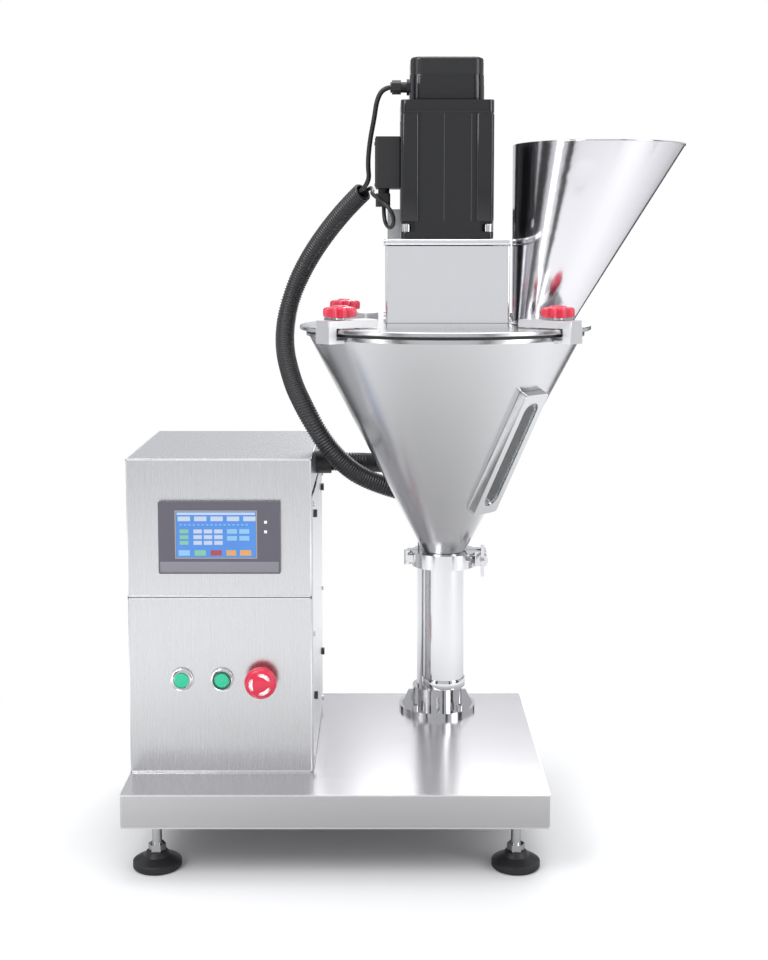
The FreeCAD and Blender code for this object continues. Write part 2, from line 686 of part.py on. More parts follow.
def half_ring(side):
    """One half of the ring, with the groove that wedges the two ferrules together."""
    lip_r, seat_r = tube_radius + 2.2, ferrule_radius + clear
    half, seat_z = ring_h / 2, ferrule_thick + clear
    groove = [(lip_r, joint_z - half), (clamp_ring_r, joint_z - half), (clamp_ring_r, joint_z + half),
              (lip_r, joint_z + half), (lip_r, joint_z + seat_z), (seat_r, joint_z + seat_z),
              (seat_r, joint_z - seat_z), (lip_r, joint_z - seat_z)]
    body = turned(groove, ax, ay)
    keep = box(ax - 60, ax + 60, ay + half_gap, ay + 60, joint_z - 20, joint_z + 20) if side > 0 else \
        box(ax - 60, ax + 60, ay - 60, ay - half_gap, joint_z - 20, joint_z + 20)
    return body.common(keep)


def tri_clamp_rear():
    ears = [box(pin_x, ax - clamp_ring_r + 3, ay + half_gap, ay + 12, joint_z + z0, joint_z + z0 + 4).fuse(
        rod(4.3, 4, pin_x, ay, joint_z + z0)) for z0 in (-9, 5)]
    lugs = [box(ax + clamp_ring_r - 3, lug_x + 6, ay + 4, ay + 16, joint_z + z0, joint_z + z0 + 4)
            for z0 in (-9, 5)]
    pin = rod(2.5, ring_h, pin_x, ay, joint_z - ring_h / 2)
    swing = rod(2.5, ring_h, lug_x, ay + 10, joint_z - ring_h / 2)
    return fuse(half_ring(1), *(ears + lugs + [pin, swing]))


def tri_clamp_front():
    knuckle = box(pin_x, ax - clamp_ring_r + 3, ay - 12, ay - half_gap, joint_z - 4.5, joint_z + 4.5).fuse(
        rod(4.3, 9, pin_x, ay, joint_z - 4.5))
    lug = box(ax + clamp_ring_r - 3, lug_x + 6, ay - 14, ay - 4, joint_z - 9, joint_z + 9)
    slot = box(lug_x - 3.6, lug_x + 8, ay - 15, ay - 3, joint_z - 3.6, joint_z + 3.6)
    body = fuse(half_ring(-1), knuckle, lug).cut(slot)
    return body.cut(rod(2.5 + running, 30, pin_x, ay, joint_z - 15))


def tri_clamp_bolt():
    """Swing bolt on its pin, with the wing nut on its threaded end."""
    eye = rod(5.5, 8, lug_x, ay + 10, joint_z - 4)
    stem = rod(3, 46, lug_x, ay + 10, joint_z, (0, -1, 0))
    bolt = fuse(eye, stem).cut(rod(2.5 + running, 30, lug_x, ay + 10, joint_z - 15))
    nut = rod(7, 8, lug_x, ay - 14 - nut_gap, joint_z, (0, -1, 0))
    wings = [box(lug_x - 2, lug_x + 2, ay - 27, ay - 17, joint_z + s * 12 - 7, joint_z + s * 12 + 7)
             for s in (-1, 1)]
    return fuse(bolt, nut, *wings)


export("auger_tube", auger_tube())
export("tri_clamp_rear", tri_clamp_rear())
export("tri_clamp_front", tri_clamp_front())
export("tri_clamp_bolt", tri_clamp_bolt())

# ---- four lid clamps ----
stud_radius = 4.0
heel_inset = 28.0             # stud to the heel screw under the bar's inner end
bar_z = box_z + bar_lift
bar_outer = lid_radius + 12.0
jaw_gap = 1.0
hook_reach, hook_thick = 3.0, 4.0
hook_z = rim_low - clear


def clamp_stud():
    """Stud welded to the lid, with the heel screw the bar rests on."""
    stud = rod(stud_radius, bar_lift + bar_height + clear + knob_height - 5, clamp_radius, 0, box_z)
    heel = rod(4.5, bar_lift, clamp_radius - heel_inset, 0, box_z)
    return stud, heel


def clamp_bar():
    """Slotted bar with a jaw over the rim; it slides outward once loose."""
    x1, half = bar_outer, bar_width / 2
    bar = box(x1 - bar_length, x1, -half, half, bar_z, bar_z + bar_height)
    bar = bar.makeFillet(2.0, vertical_edges(bar))
    jaw = box(lid_radius + jaw_gap, x1, -half, half, hook_z - hook_thick, bar_z + 1)
    hook = box(rim_radius - hook_reach, x1, -half, half, hook_z - hook_thick, hook_z)
    slot = box(clamp_radius - bar_slide - stud_radius - 1, clamp_radius + stud_radius + 1,
               -stud_radius - 0.5, stud_radius + 0.5, bar_z - 5, bar_z + 20)
    return fuse(bar, jaw, hook).cut(slot)


def clamp_knob():
    """Star grip with six lobes and a steel washer face."""
    z = bar_z + bar_height + clear
    grip = rod(knob_radius - 5, knob_height - 4, 0, 0, z + 4)
    for i in range(6):
        a = math.radians(60 * i)
        grip = grip.fuse(rod(6.2, knob_height - 4, (knob_radius - 6.2) * math.cos(a),
                             (knob_radius - 6.2) * math.sin(a), z + 4))
    neck = rod(8, 5, 0, 0, z)
    body = fuse(grip, neck).cut(rod(stud_radius + running, knob_height - 3, 0, 0, z - 1))
    body.translate(V(clamp_radius, 0, 0))
    return body


clamp_names = ("front_left", "front_right", "rear_left", "rear_right")
studs = []
for name, angle in zip(clamp_names, clamp_angles):
    studs += [placed(s, angle, ax, ay) for s in clamp_stud()]
    export("clamp_bar_" + name, placed(clamp_bar(), angle, ax, ay))
    export("clamp_knob_" + name, placed(clamp_knob(), angle, ax, ay))
export("clamp_studs", *studs)

# ---- screws ----
def cap_screw(x, y, z, length, r=3.0):
    head = rod(r * 1.65, r * 2, x, y, z).cut(hexagon(r * 1.6, r * 2, x, y, z + r * 0.8))
    return head.fuse(rod(r, length, x, y, z - length))


cap_screws = [cap_screw(ax + sx * motor_bolt, ay + sy * motor_bolt, motor_z + flange_height, flange_height)
              for sx in (-1, 1) for sy in (-1, 1)]
cap_screws += [cap_screw(x, y, base_top + flange_thick, flange_thick + 8) for x, y in flange_bolts]
export("cap_screws", *cap_screws)


def pan_head(x, y, z, d):
    """Low round head lying on a wall, axis along d."""
    return rod(3.6, 2.2, x, y, z, d)


panel_screws = [pan_head(ax + s * box_width / 2, y, z, (s, 0, 0)) for s in (-1, 1)
                for y in (box_y0 + 20, box_y0 + 113, box_y0 + 206) for z in (cover_z + 4, box_z + 8)]
panel_screws += [pan_head(cab_right + sheet, y, z, (1, 0, 0)) for y in (cab_front + 14, cab_back - 14)
                 for z in (base_top + 14, base_top + 174, cab_top - 58)]
panel_screws += [pan_head(x + sx * plate_screw, y + sy * plate_screw, foot_height - plate_t, (0, 0, -1))
                 for x, y in foot_places for sx in (-1, 1) for sy in (-1, 1)]
export("panel_screws", *panel_screws)

# ---- conduit and cables: straight runs joined by tangent arcs ----
hose_route = [(-94.9, 48.5, 481), (-69, 48.5, 481), (-37.5, 67, 477), (-20, 96, 471), (13, 108, 463),
              (46, 95, 454), (60, 62, 446), (45, 28, 442), (10, 19, 444), (-24, 12, 454), (-57, 4, 469),
              (-78, -3.5, 486), (-97, -9.5, 508), (-113, -11.5, 533), (-129, -1.5, 561), (-144.7, 20, 590),
              (-158.7, 56, 637), (-151.7, 78.5, 693), (-124.4, 63.5, 751), (-78.4, 23.5, 810),
              (-52.5, -1.5, 833)]
encoder_route = [(-18, -46, 958), (-27, -46, 956.5), (-34.5, -44, 943), (-37.5, -42, 922),
                 (-43, -37, 895), (-46, -29, 866), (-43.5, -16.4, 843.5), (-55.6, -4.7, 833)]
motor_route = [(-25.9, -46, 813), (-25.9, -46, 801), (-23, -53, 790), (-17, -64, 786), (-13, -72, 795),
               (-17, -74, 808), (-28, -66, 819), (-41, -47, 829), (-39.5, -22, 834), (-42.1, -5.3, 839.4),
               (-49.4, 1.7, 833)]


def cord(name, points, radius):
    """Round tube along the points, each corner an arc as large as its two runs allow."""
    p = [V(*q) for q in points]
    edges, last, smallest = [], p[0], 1e9
    for a, b, c in zip(p, p[1:], p[2:]):
        u, w = (a - b).normalize(), (c - b).normalize()
        half_turn = (math.pi - u.getAngle(w)) / 2
        reach = 0.45 * min((a - b).Length, (c - b).Length)
        start, end = b + u * reach, b + w * reach
        arc_r = reach / math.tan(half_turn)
        smallest = min(smallest, arc_r)
        centre = b + (u + w).normalize() * (arc_r / math.cos(half_turn))
        mid = centre + (b - centre).normalize() * arc_r
        edges += [Part.LineSegment(last, start).toShape(), Part.Arc(start, mid, end).toShape()]
        last = end
    edges.append(Part.LineSegment(last, p[-1]).toShape())
    path = Part.Wire(edges)
    section = Part.Wire(Part.makeCircle(radius, p[0], (p[1] - p[0])))
    tube = path.makePipeShell([section], True, True)
    length = path.Length
    print("%s: smallest arc %.1f, length %.1f, volume ratio %.4f"
          % (name, smallest, length, tube.Volume / (math.pi * radius ** 2 * length)))
    export(name, tube)


cord("cable_hose", hose_route, hose_radius)
cord("encoder_cable", encoder_route, cable_radius)
cord("motor_cable", motor_route, lead_radius)
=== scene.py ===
"""Auger powder filler: finishes, cables, display, knobs, motor and small fittings around the CAD frame.

Metres, +Z up, front towards -Y. Places come from the frame's own nodes.
"""
import bpy
import bmesh
import math
from mathutils import Matrix, Vector


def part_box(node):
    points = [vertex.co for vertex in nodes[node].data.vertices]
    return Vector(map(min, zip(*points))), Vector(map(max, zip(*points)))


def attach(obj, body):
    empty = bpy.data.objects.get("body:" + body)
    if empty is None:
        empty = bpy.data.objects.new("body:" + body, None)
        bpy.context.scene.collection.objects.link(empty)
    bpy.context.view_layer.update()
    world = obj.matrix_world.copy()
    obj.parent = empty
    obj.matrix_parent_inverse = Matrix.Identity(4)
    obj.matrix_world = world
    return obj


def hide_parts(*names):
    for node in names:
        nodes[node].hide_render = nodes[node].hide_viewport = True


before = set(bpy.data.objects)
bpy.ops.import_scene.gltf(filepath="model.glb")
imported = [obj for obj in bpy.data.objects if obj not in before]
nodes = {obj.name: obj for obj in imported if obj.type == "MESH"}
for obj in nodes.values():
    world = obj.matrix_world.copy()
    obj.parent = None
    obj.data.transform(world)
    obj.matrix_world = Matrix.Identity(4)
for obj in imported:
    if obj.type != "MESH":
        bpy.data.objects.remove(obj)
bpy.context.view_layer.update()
MM = 0.001
TAU = math.tau


# ---------------------------------------------------------------- camera and route helpers
def make_camera():
    data = bpy.data.cameras.new("camera")
    data.sensor_width, data.lens = 36.0, 53.1
    data.shift_y = -0.1
    camera = bpy.data.objects.new("camera", data)
    camera.location = (-0.0257, -1.8057, 0.764)
    camera.rotation_euler = (math.radians(90 - 5.54), 0, 0)
    bpy.context.scene.collection.objects.link(camera)
    bpy.context.scene.camera = camera


def route_curve(name, points):
    """Smooth spline with the route's points, given in millimetres, as control points."""
    data = bpy.data.curves.new(name, "CURVE")
    data.dimensions = "3D"
    spline = data.splines.new("NURBS")
    spline.points.add(len(points) - 1)
    for place, co in zip(spline.points, points):
        place.co = (co[0] * MM, co[1] * MM, co[2] * MM, 1)
    spline.order_u = 3
    spline.use_endpoint_u = True
    spline.resolution_u = 12
    curve = bpy.data.objects.new(name, data)
    bpy.context.scene.collection.objects.link(curve)
    return curve


# ---------------------------------------------------------------- mesh helpers
def piece_from(bm, name, material, body, smooth=True, angle=35):
    """Turns a bmesh into a piece that rides on a body."""
    bmesh.ops.recalc_face_normals(bm, faces=bm.faces)
    mesh = bpy.data.meshes.new(name)
    bm.to_mesh(mesh)
    bm.free()
    piece = bpy.data.objects.new(name, mesh)
    bpy.context.scene.collection.objects.link(piece)
    mesh.materials.append(material)
    if smooth:
        mesh.shade_smooth()
        mesh.set_sharp_from_angle(angle=math.radians(angle))
    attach(piece, body)
    return piece


def spun(bm, profile, centre=(0, 0, 0), steps=48, closed=True):
    """Adds a full turn of (radius, height) points about the upright line through centre."""
    verts = [bm.verts.new((centre[0] + r, centre[1], centre[2] + z)) for r, z in profile]
    pairs = list(zip(verts, verts[1:] + verts[:1])) if closed else list(zip(verts, verts[1:]))
    edges = [bm.edges.new(pair) for pair in pairs]
    bmesh.ops.spin(bm, geom=verts + edges, cent=centre, axis=(0, 0, 1), angle=TAU, steps=steps, use_merge=True)
    bmesh.ops.remove_doubles(bm, verts=bm.verts, dist=1e-6)
    return bm


def turn_to(bm, verts, axis, centre):
    """Turns verts built along +Z so that they point along axis, about centre."""
    rotation = Vector((0, 0, 1)).rotation_difference(Vector(axis)).to_matrix()
    bmesh.ops.rotate(bm, verts=verts, cent=centre, matrix=rotation)


def block(bm, low, high, bevel=0.0, segments=3):
    """Adds a box between two corners, with rounded edges."""
    low, high = Vector(low), Vector(high)
    made = bmesh.ops.create_cube(bm, size=1.0)["verts"]
    bmesh.ops.scale(bm, vec=high - low, verts=made)
    bmesh.ops.translate(bm, vec=(low + high) / 2, verts=made)
    if bevel:
        edges = list({e for v in made for e in v.link_edges})
        made = bmesh.ops.bevel(bm, geom=edges, offset=bevel, segments=segments, profile=0.5, affect="EDGES",
                               material=-1, clamp_overlap=True)["verts"]
    return made


# ---------------------------------------------------------------- shader groups
def socket(group, name, kind, way, value=None):
    made = group.interface.new_socket(name=name, in_out=way, socket_type=kind)
    if value is not None:
        made.default_value = value
    return made


def brushed_group():
    """Fine straight scratches: a roughness shift, a height and a faint tone, along one axis."""
    group = bpy.data.node_groups.new("brushed_grain", "ShaderNodeTree")
    socket(group, "Vector", "NodeSocketVector", "INPUT")
    socket(group, "Tone Amount", "NodeSocketFloat", "INPUT", 0.05)
    socket(group, "Base Roughness", "NodeSocketFloat", "INPUT", 0.3)
    socket(group, "Roughness Amount", "NodeSocketFloat", "INPUT", 0.1)
    socket(group, "Base", "NodeSocketColor", "INPUT", (0.7, 0.7, 0.7, 1))
    socket(group, "Color", "NodeSocketColor", "OUTPUT")
    socket(group, "Roughness", "NodeSocketFloat", "OUTPUT")
    socket(group, "Height", "NodeSocketFloat", "OUTPUT")
    n, links = group.nodes, group.links
    inputs, outputs = n.new("NodeGroupInput").outputs, n.new("NodeGroupOutput").inputs
    grain = n.new("ShaderNodeTexNoise")
    grain.inputs["Scale"].default_value = 1.0
    grain.inputs["Detail"].default_value = 4.0
    links.new(inputs["Vector"], grain.inputs["Vector"])
    rough = n.new("ShaderNodeMath"); rough.operation = "MULTIPLY_ADD"
    centred = n.new("ShaderNodeMath"); centred.operation = "SUBTRACT"; centred.inputs[1].default_value = 0.5
    links.new(grain.outputs["Fac"], centred.inputs[0])
    links.new(centred.outputs[0], rough.inputs[0])
    links.new(inputs["Roughness Amount"], rough.inputs[1])
    links.new(inputs["Base Roughness"], rough.inputs[2])
    tone = n.new("ShaderNodeMath"); tone.operation = "MULTIPLY_ADD"; tone.inputs[2].default_value = 1.0
    links.new(centred.outputs[0], tone.inputs[0])
    links.new(inputs["Tone Amount"], tone.inputs[1])
    colour = n.new("ShaderNodeVectorMath"); colour.operation = "SCALE"
    links.new(inputs["Base"], colour.inputs[0])
    links.new(tone.outputs[0], colour.inputs["Scale"])
    links.new(colour.outputs[0], outputs["Color"])
    links.new(rough.outputs[0], outputs["Roughness"])
    links.new(grain.outputs["Fac"], outputs["Height"])
    return group


def mould_group():
    """Fine moulded grain with faint handling marks."""
    group = bpy.data.node_groups.new("moulded_skin", "ShaderNodeTree")
    socket(group, "Vector", "NodeSocketVector", "INPUT")
    socket(group, "Grain Scale", "NodeSocketFloat", "INPUT", 1800.0)
    socket(group, "Base Roughness", "NodeSocketFloat", "INPUT", 0.4)
    socket(group, "Smear Amount", "NodeSocketFloat", "INPUT", 0.15)
    socket(group, "Roughness", "NodeSocketFloat", "OUTPUT")
    socket(group, "Height", "NodeSocketFloat", "OUTPUT")
    n, links = group.nodes, group.links
    inputs, outputs = n.new("NodeGroupInput").outputs, n.new("NodeGroupOutput").inputs
    grain, smear = n.new("ShaderNodeTexNoise"), n.new("ShaderNodeTexNoise")
    smear.inputs["Scale"].default_value = 25.0
    smear.inputs["Detail"].default_value = 3.0
    links.new(inputs["Vector"], grain.inputs["Vector"])
    links.new(inputs["Vector"], smear.inputs["Vector"])
    links.new(inputs["Grain Scale"], grain.inputs["Scale"])
    centred = n.new("ShaderNodeMath"); centred.operation = "SUBTRACT"; centred.inputs[1].default_value = 0.5
    rough = n.new("ShaderNodeMath"); rough.operation = "MULTIPLY_ADD"
    links.new(smear.outputs["Fac"], centred.inputs[0])
    links.new(centred.outputs[0], rough.inputs[0])
    links.new(inputs["Smear Amount"], rough.inputs[1])
    links.new(inputs["Base Roughness"], rough.inputs[2])
    links.new(rough.outputs[0], outputs["Roughness"])
    links.new(grain.outputs["Fac"], outputs["Height"])
    return group


BRUSHED, MOULDED = brushed_group(), mould_group()


def material_base(name, specular=0.5, **values):
    material = bpy.data.materials.new(name)
    material.use_nodes = True
    shader = material.node_tree.nodes["Principled BSDF"]
    for key, value in values.items():
        shader.inputs[key.replace("_", " ")].default_value = value
    shader.inputs["Specular IOR Level"].default_value = specular
    return material, material.node_tree, shader


def steel(name, colour, roughness, stretch, tone=0.05, spread=0.1, bump=0.05, anisotropic=0.0):
    """Stainless sheet: stretch is the noise scale along X, Y, Z, low along the grain."""
    material, tree, shader = material_base(name, Metallic=1.0, Anisotropic=anisotropic)
    coords, mapping = tree.nodes.new("ShaderNodeTexCoord"), tree.nodes.new("ShaderNodeMapping")
    mapping.inputs["Scale"].default_value = stretch
    tree.links.new(coords.outputs["Object"], mapping.inputs["Vector"])
    grain = tree.nodes.new("ShaderNodeGroup"); grain.node_tree = BRUSHED
    grain.inputs["Base"].default_value = (*colour, 1)
    grain.inputs["Tone Amount"].default_value = tone
    grain.inputs["Base Roughness"].default_value = roughness
    grain.inputs["Roughness Amount"].default_value = spread
    tree.links.new(mapping.outputs["Vector"], grain.inputs["Vector"])
    bumps = tree.nodes.new("ShaderNodeBump")
    bumps.inputs["Strength"].default_value = bump
    bumps.inputs["Distance"].default_value = 0.0002
    tree.links.new(grain.outputs["Color"], shader.inputs["Base Color"])
    tree.links.new(grain.outputs["Roughness"], shader.inputs["Roughness"])
    tree.links.new(grain.outputs["Height"], bumps.inputs["Height"])
    tree.links.new(bumps.outputs["Normal"], shader.inputs["Normal"])
    return material


def moulded(name, colour, roughness, coat=0.0, grain=1800.0, bump=0.08, smear=0.15, metallic=0.0):
    material, tree, shader = material_base(name, Base_Color=(*colour, 1), Metallic=metallic, Coat_Weight=coat,
                                           Coat_Roughness=0.06)
    coords = tree.nodes.new("ShaderNodeTexCoord")
    skin = tree.nodes.new("ShaderNodeGroup"); skin.node_tree = MOULDED
    skin.inputs["Grain Scale"].default_value = grain
    skin.inputs["Base Roughness"].default_value = roughness
    skin.inputs["Smear Amount"].default_value = smear
    tree.links.new(coords.outputs["Object"], skin.inputs["Vector"])
    bumps = tree.nodes.new("ShaderNodeBump")
    bumps.inputs["Strength"].default_value = bump
    bumps.inputs["Distance"].default_value = 0.0002
    tree.links.new(skin.outputs["Roughness"], shader.inputs["Roughness"])
    tree.links.new(skin.outputs["Height"], bumps.inputs["Height"])
    tree.links.new(bumps.outputs["Normal"], shader.inputs["Normal"])
    return material


def clear_window():
    material, tree, shader = material_base("clear_window", Base_Color=(0.86, 0.9, 0.92, 1), Roughness=0.04,
                                           IOR=1.45, Transmission_Weight=1.0)
    coords, dust = tree.nodes.new("ShaderNodeTexCoord"), tree.nodes.new("ShaderNodeTexNoise")
    dust.inputs["Scale"].default_value = 60.0
    spread = tree.nodes.new("ShaderNodeMapRange")
    spread.inputs["To Min"].default_value = 0.02
    spread.inputs["To Max"].default_value = 0.12
    tree.links.new(coords.outputs["Object"], dust.inputs["Vector"])
    tree.links.new(dust.outputs["Fac"], spread.inputs["Value"])
    tree.links.new(spread.outputs["Result"], shader.inputs["Roughness"])
    return material


def lit(name, colour, strength=0.9):
    """Display area: its own light under a glossy film."""
    material, tree, shader = material_base(name, Base_Color=(0.02, 0.02, 0.02, 1), Roughness=0.15,
                                           Emission_Strength=strength)
    coords, noise = tree.nodes.new("ShaderNodeTexCoord"), tree.nodes.new("ShaderNodeTexNoise")
    noise.inputs["Scale"].default_value = 30.0
    ramp = tree.nodes.new("ShaderNodeValToRGB")
    ramp.color_ramp.elements[0].color = (*[0.9 * c for c in colour], 1)
    ramp.color_ramp.elements[1].color = (*[min(1, 1.06 * c) for c in colour], 1)
    tree.links.new(coords.outputs["Object"], noise.inputs["Vector"])
    tree.links.new(noise.outputs["Fac"], ramp.inputs["Fac"])
    tree.links.new(ramp.outputs["Color"], shader.inputs["Emission Color"])
    return material


M = {
    "sheet": steel("brushed_sheet", (0.68, 0.68, 0.69), 0.27, (700, 700, 5), tone=0.05, spread=0.10, bump=0.05),
    "tray": steel("brushed_tray", (0.71, 0.70, 0.715), 0.20, (5, 700, 700), tone=0.04, spread=0.08, bump=0.03),
    "satin": steel("satin_cone", (0.69, 0.69, 0.70), 0.235, (260, 260, 10), tone=0.04, spread=0.07, bump=0.03),
    "lid": steel("satin_lid", (0.64, 0.64, 0.65), 0.25, (200, 200, 200), tone=0.04, spread=0.10, bump=0.03),
    "polished": steel("mirror_steel", (0.70, 0.70, 0.71), 0.07, (40, 40, 8), tone=0.02, spread=0.05, bump=0.01),
    "bright": steel("plated_steel", (0.72, 0.72, 0.73), 0.16, (500, 500, 500), tone=0.05, spread=0.08, bump=0.04),
    "alloy": steel("cast_alloy", (0.82, 0.82, 0.83), 0.38, (700, 700, 700), tone=0.05, spread=0.12, bump=0.15),
    "dark_screw": moulded("black_oxide", (0.06, 0.06, 0.065), 0.35, metallic=0.6),
    "dark_plate": moulded("black_plate", (0.05, 0.05, 0.055), 0.45),
    "motor": moulded("gloss_enamel", (0.008, 0.008, 0.010), 0.17, coat=0.25, grain=260, bump=0.02, smear=0.08),
    "cap": moulded("satin_enamel", (0.014, 0.014, 0.016), 0.30, coat=0.10, grain=900, bump=0.06),
    "box": moulded("black_mould", (0.018, 0.018, 0.019), 0.42),
    "foot": moulded("black_nylon", (0.020, 0.020, 0.022), 0.40),
    "hose": moulded("conduit_black", (0.022, 0.022, 0.024), 0.36, coat=0.15),
    "cable": moulded("cable_sheath", (0.018, 0.018, 0.019), 0.38),
    "seal": moulded("seal_rubber", (0.025, 0.025, 0.026), 0.6),
    "red": moulded("red_grip", (0.68, 0.035, 0.075), 0.22, coat=0.5, grain=700, bump=0.03),
    "stop": moulded("stop_red", (0.66, 0.015, 0.055), 0.24, coat=0.4, grain=700, bump=0.02),
    "white": moulded("white_print", (0.85, 0.82, 0.82), 0.4),
    "green": moulded("button_green", (0.008, 0.50, 0.27), 0.22, coat=0.5, grain=700, bump=0.02),
    "green_ring": moulded("dark_green_ring", (0.01, 0.10, 0.06), 0.3),
    "frame": moulded("panel_frame", (0.105, 0.10, 0.125), 0.42),
    "frame_pale": moulded("panel_band", (0.22, 0.215, 0.245), 0.42),
    "contact": moulded("contact_grey", (0.30, 0.31, 0.33), 0.5),
    "case": moulded("grey_case", (0.30, 0.31, 0.33), 0.4),
    "window": clear_window(),
}

FINISH = {
    "tray": ["base_tray"],
    "sheet": ["cabinet_body", "front_panel_lower", "front_panel_upper", "side_cover"],
    "satin": ["hopper_cone", "window_frame", "head_bracket", "stirrer"],
    "lid": ["lid"],
    "polished": ["head_box", "head_box_cover", "feed_chute", "auger_tube", "post_tube", "post_flange",
                 "tri_clamp_front", "tri_clamp_rear", "auger_screw"],
    "bright": ["cap_screws", "panel_screws", "clamp_studs", "estop_stem", "motor_shaft", "bearings",
               "button_bezels", "tri_clamp_bolt"] + ["foot_stud_" + n for n in
                                                     ("front_left", "front_right", "rear_left", "rear_right")],
    "alloy": ["shaft_coupling"] + ["clamp_bar_" + n for n in ("front_left", "front_right", "rear_left", "rear_right")],
    "dark_screw": ["cover_bolts"],
    "dark_plate": ["foot_plates"],
    "motor": ["motor_body"],
    "cap": ["encoder_cap"],
    "box": ["connector_box", "cable_glands", "power_inlet"],
    "foot": ["foot_pads"],
    "seal": ["lid_gasket"],
    "red": ["clamp_knob_" + n for n in ("front_left", "front_right", "rear_left", "rear_right")],
    "stop": ["estop_head"],
    "green": ["button_start", "button_run"],
    "frame": ["hmi_bezel", "hmi_screen"],
    "contact": ["contact_blocks"],
    "case": ["servo_drive"],
    "window": ["window_pane"],
    "hose": ["cable_hose"],
    "cable": ["encoder_cable", "motor_cable"],
}
for finish, names in FINISH.items():
    for name in names:
        node = nodes[name]
        if node.material_slots:
            node.material_slots[0].material = M[finish]
        else:
            node.data.materials.append(M[finish])


# ---------------------------------------------------------------- conduit and cables
HOSE_ROUTE = [(-94.9, 48.5, 481), (-69, 48.5, 481), (-37.5, 67, 477), (-20, 96, 471), (13, 108, 463),
              (46, 95, 454), (60, 62, 446), (45, 28, 442), (10, 19, 444), (-24, 12, 454), (-57, 4, 469),
              (-78, -3.5, 486), (-97, -9.5, 508), (-113, -11.5, 533), (-129, -1.5, 561), (-144.7, 20, 590),
              (-158.7, 56, 637), (-151.7, 78.5, 693), (-124.4, 63.5, 751), (-78.4, 23.5, 810),
              (-52.5, -1.5, 833)]
ENCODER_ROUTE = [(-18, -46, 958), (-27, -46, 956.5), (-34.5, -44, 943), (-37.5, -42, 922),
                 (-43, -37, 895), (-46, -29, 866), (-43.5, -16.4, 843.5), (-55.6, -4.7, 833)]
MOTOR_ROUTE = [(-25.9, -46, 813), (-25.9, -46, 801), (-23, -53, 790), (-17, -64, 786), (-13, -72, 795),
               (-17, -74, 808), (-28, -66, 819), (-41, -47, 829), (-39.5, -22, 834), (-42.1, -5.3, 839.4),
               (-49.4, 1.7, 833)]


def spline_points(curve):
    mesh = bpy.data.meshes.new_from_object(curve)
    points = [v.co.copy() for v in mesh.vertices]
    bpy.data.meshes.remove(mesh)
    return points


def path_length(points):
    return sum((b - a).length for a, b in zip(points, points[1:]))


def along(points, distance):
    """Place and direction at a distance along the points."""
    for a, b in zip(points, points[1:]):
        step = (b - a).length
        if distance <= step:
            return a.lerp(b, distance / max(step, 1e-9)), (b - a).normalized()
        distance -= step
    return points[-1].copy(), (points[-1] - points[-2]).normalized()


def conduit(points, radius=0.0125, pitch=0.0036, depth=0.0013, sides=28):
    """Corrugated tube with an open end, one rounded rib after another."""
    bm = bmesh.new()
    length = path_length(points)
    ribs = int(length / pitch)
    pitch = length / ribs
    rings, side_axis = [], None
    shape = ((0.0, -1.0), (0.28, -0.85), (0.42, 0.0), (0.62, 0.0), (0.76, -0.85))
    stations = [(pitch * (i + t), radius + depth * d) for i in range(ribs) for t, d in shape]
    stations.append((length, radius - depth))
    for distance, r in stations:
        centre, forward = along(points, distance)
        if side_axis is None:
            side_axis = forward.orthogonal().normalized()
        side_axis = (side_axis - forward * side_axis.dot(forward)).normalized()
        up = forward.cross(side_axis)
        rings.append([bm.verts.new(centre + r * (math.cos(TAU * k / sides) * side_axis
                                                 + math.sin(TAU * k / sides) * up)) for k in range(sides)])
    loops = []
    for ring in rings:
        loops.append([bm.edges.new((ring[k], ring[(k + 1) % sides])) for k in range(sides)])
    for first, second in zip(rings, rings[1:]):
        for k in range(sides):
            bm.faces.new((first[k], first[(k + 1) % sides], second[(k + 1) % sides], second[k]))
    bm.faces.new(rings[0])
    mouth = bmesh.ops.extrude_edge_only(bm, edges=loops[-1])
    inner = [v for v in mouth["geom"] if isinstance(v, bmesh.types.BMVert)]
    centre, forward = along(points, length)
    bmesh.ops.scale(bm, vec=(0.82,) * 3, verts=inner, space=Matrix.Translation(-centre))
    sunk = bmesh.ops.extrude_edge_only(bm, edges=[e for e in mouth["geom"] if isinstance(e, bmesh.types.BMEdge)
                                                  and all(v in inner for v in e.verts)])
    deep = [v for v in sunk["geom"] if isinstance(v, bmesh.types.BMVert)]
    bmesh.ops.translate(bm, vec=-forward * 0.012, verts=deep)
    bmesh.ops.contextual_create(bm, geom=[e for e in sunk["geom"] if isinstance(e, bmesh.types.BMEdge)
                                          and all(v in deep for v in e.verts)])
    return bm


def make_cords():
    guide = route_curve("conduit_guide", HOSE_ROUTE)
    points = spline_points(guide)
    bpy.data.objects.remove(guide)
    hose = piece_from(conduit(points), "corrugated_conduit", M["hose"], "frame", angle=80)
    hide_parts("cable_hose")
    for name, route, radius, node in (("encoder_lead", ENCODER_ROUTE, 0.003, "encoder_cable"),
                                      ("motor_lead", MOTOR_ROUTE, 0.0025, "motor_cable")):
        lead = route_curve(name, route)
        length = path_length(spline_points(lead))
        lead.data.bevel_depth = radius
        lead.data.bevel_resolution = 6
        lead.data.use_fill_caps = True
        lead.data.materials.append(M["cable"])
        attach(lead, "frame")
        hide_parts(node)


make_camera()
make_cords()


# ---------------------------------------------------------------- touch panel
def facing_box(bm, x, z, width, height, front, back, bevel=0.0):
    """Adds a block whose face looks towards -Y, given its middle and its front and back."""
    return block(bm, (x - width / 2, front, z - height / 2), (x + width / 2, back, z + height / 2), bevel, 2)


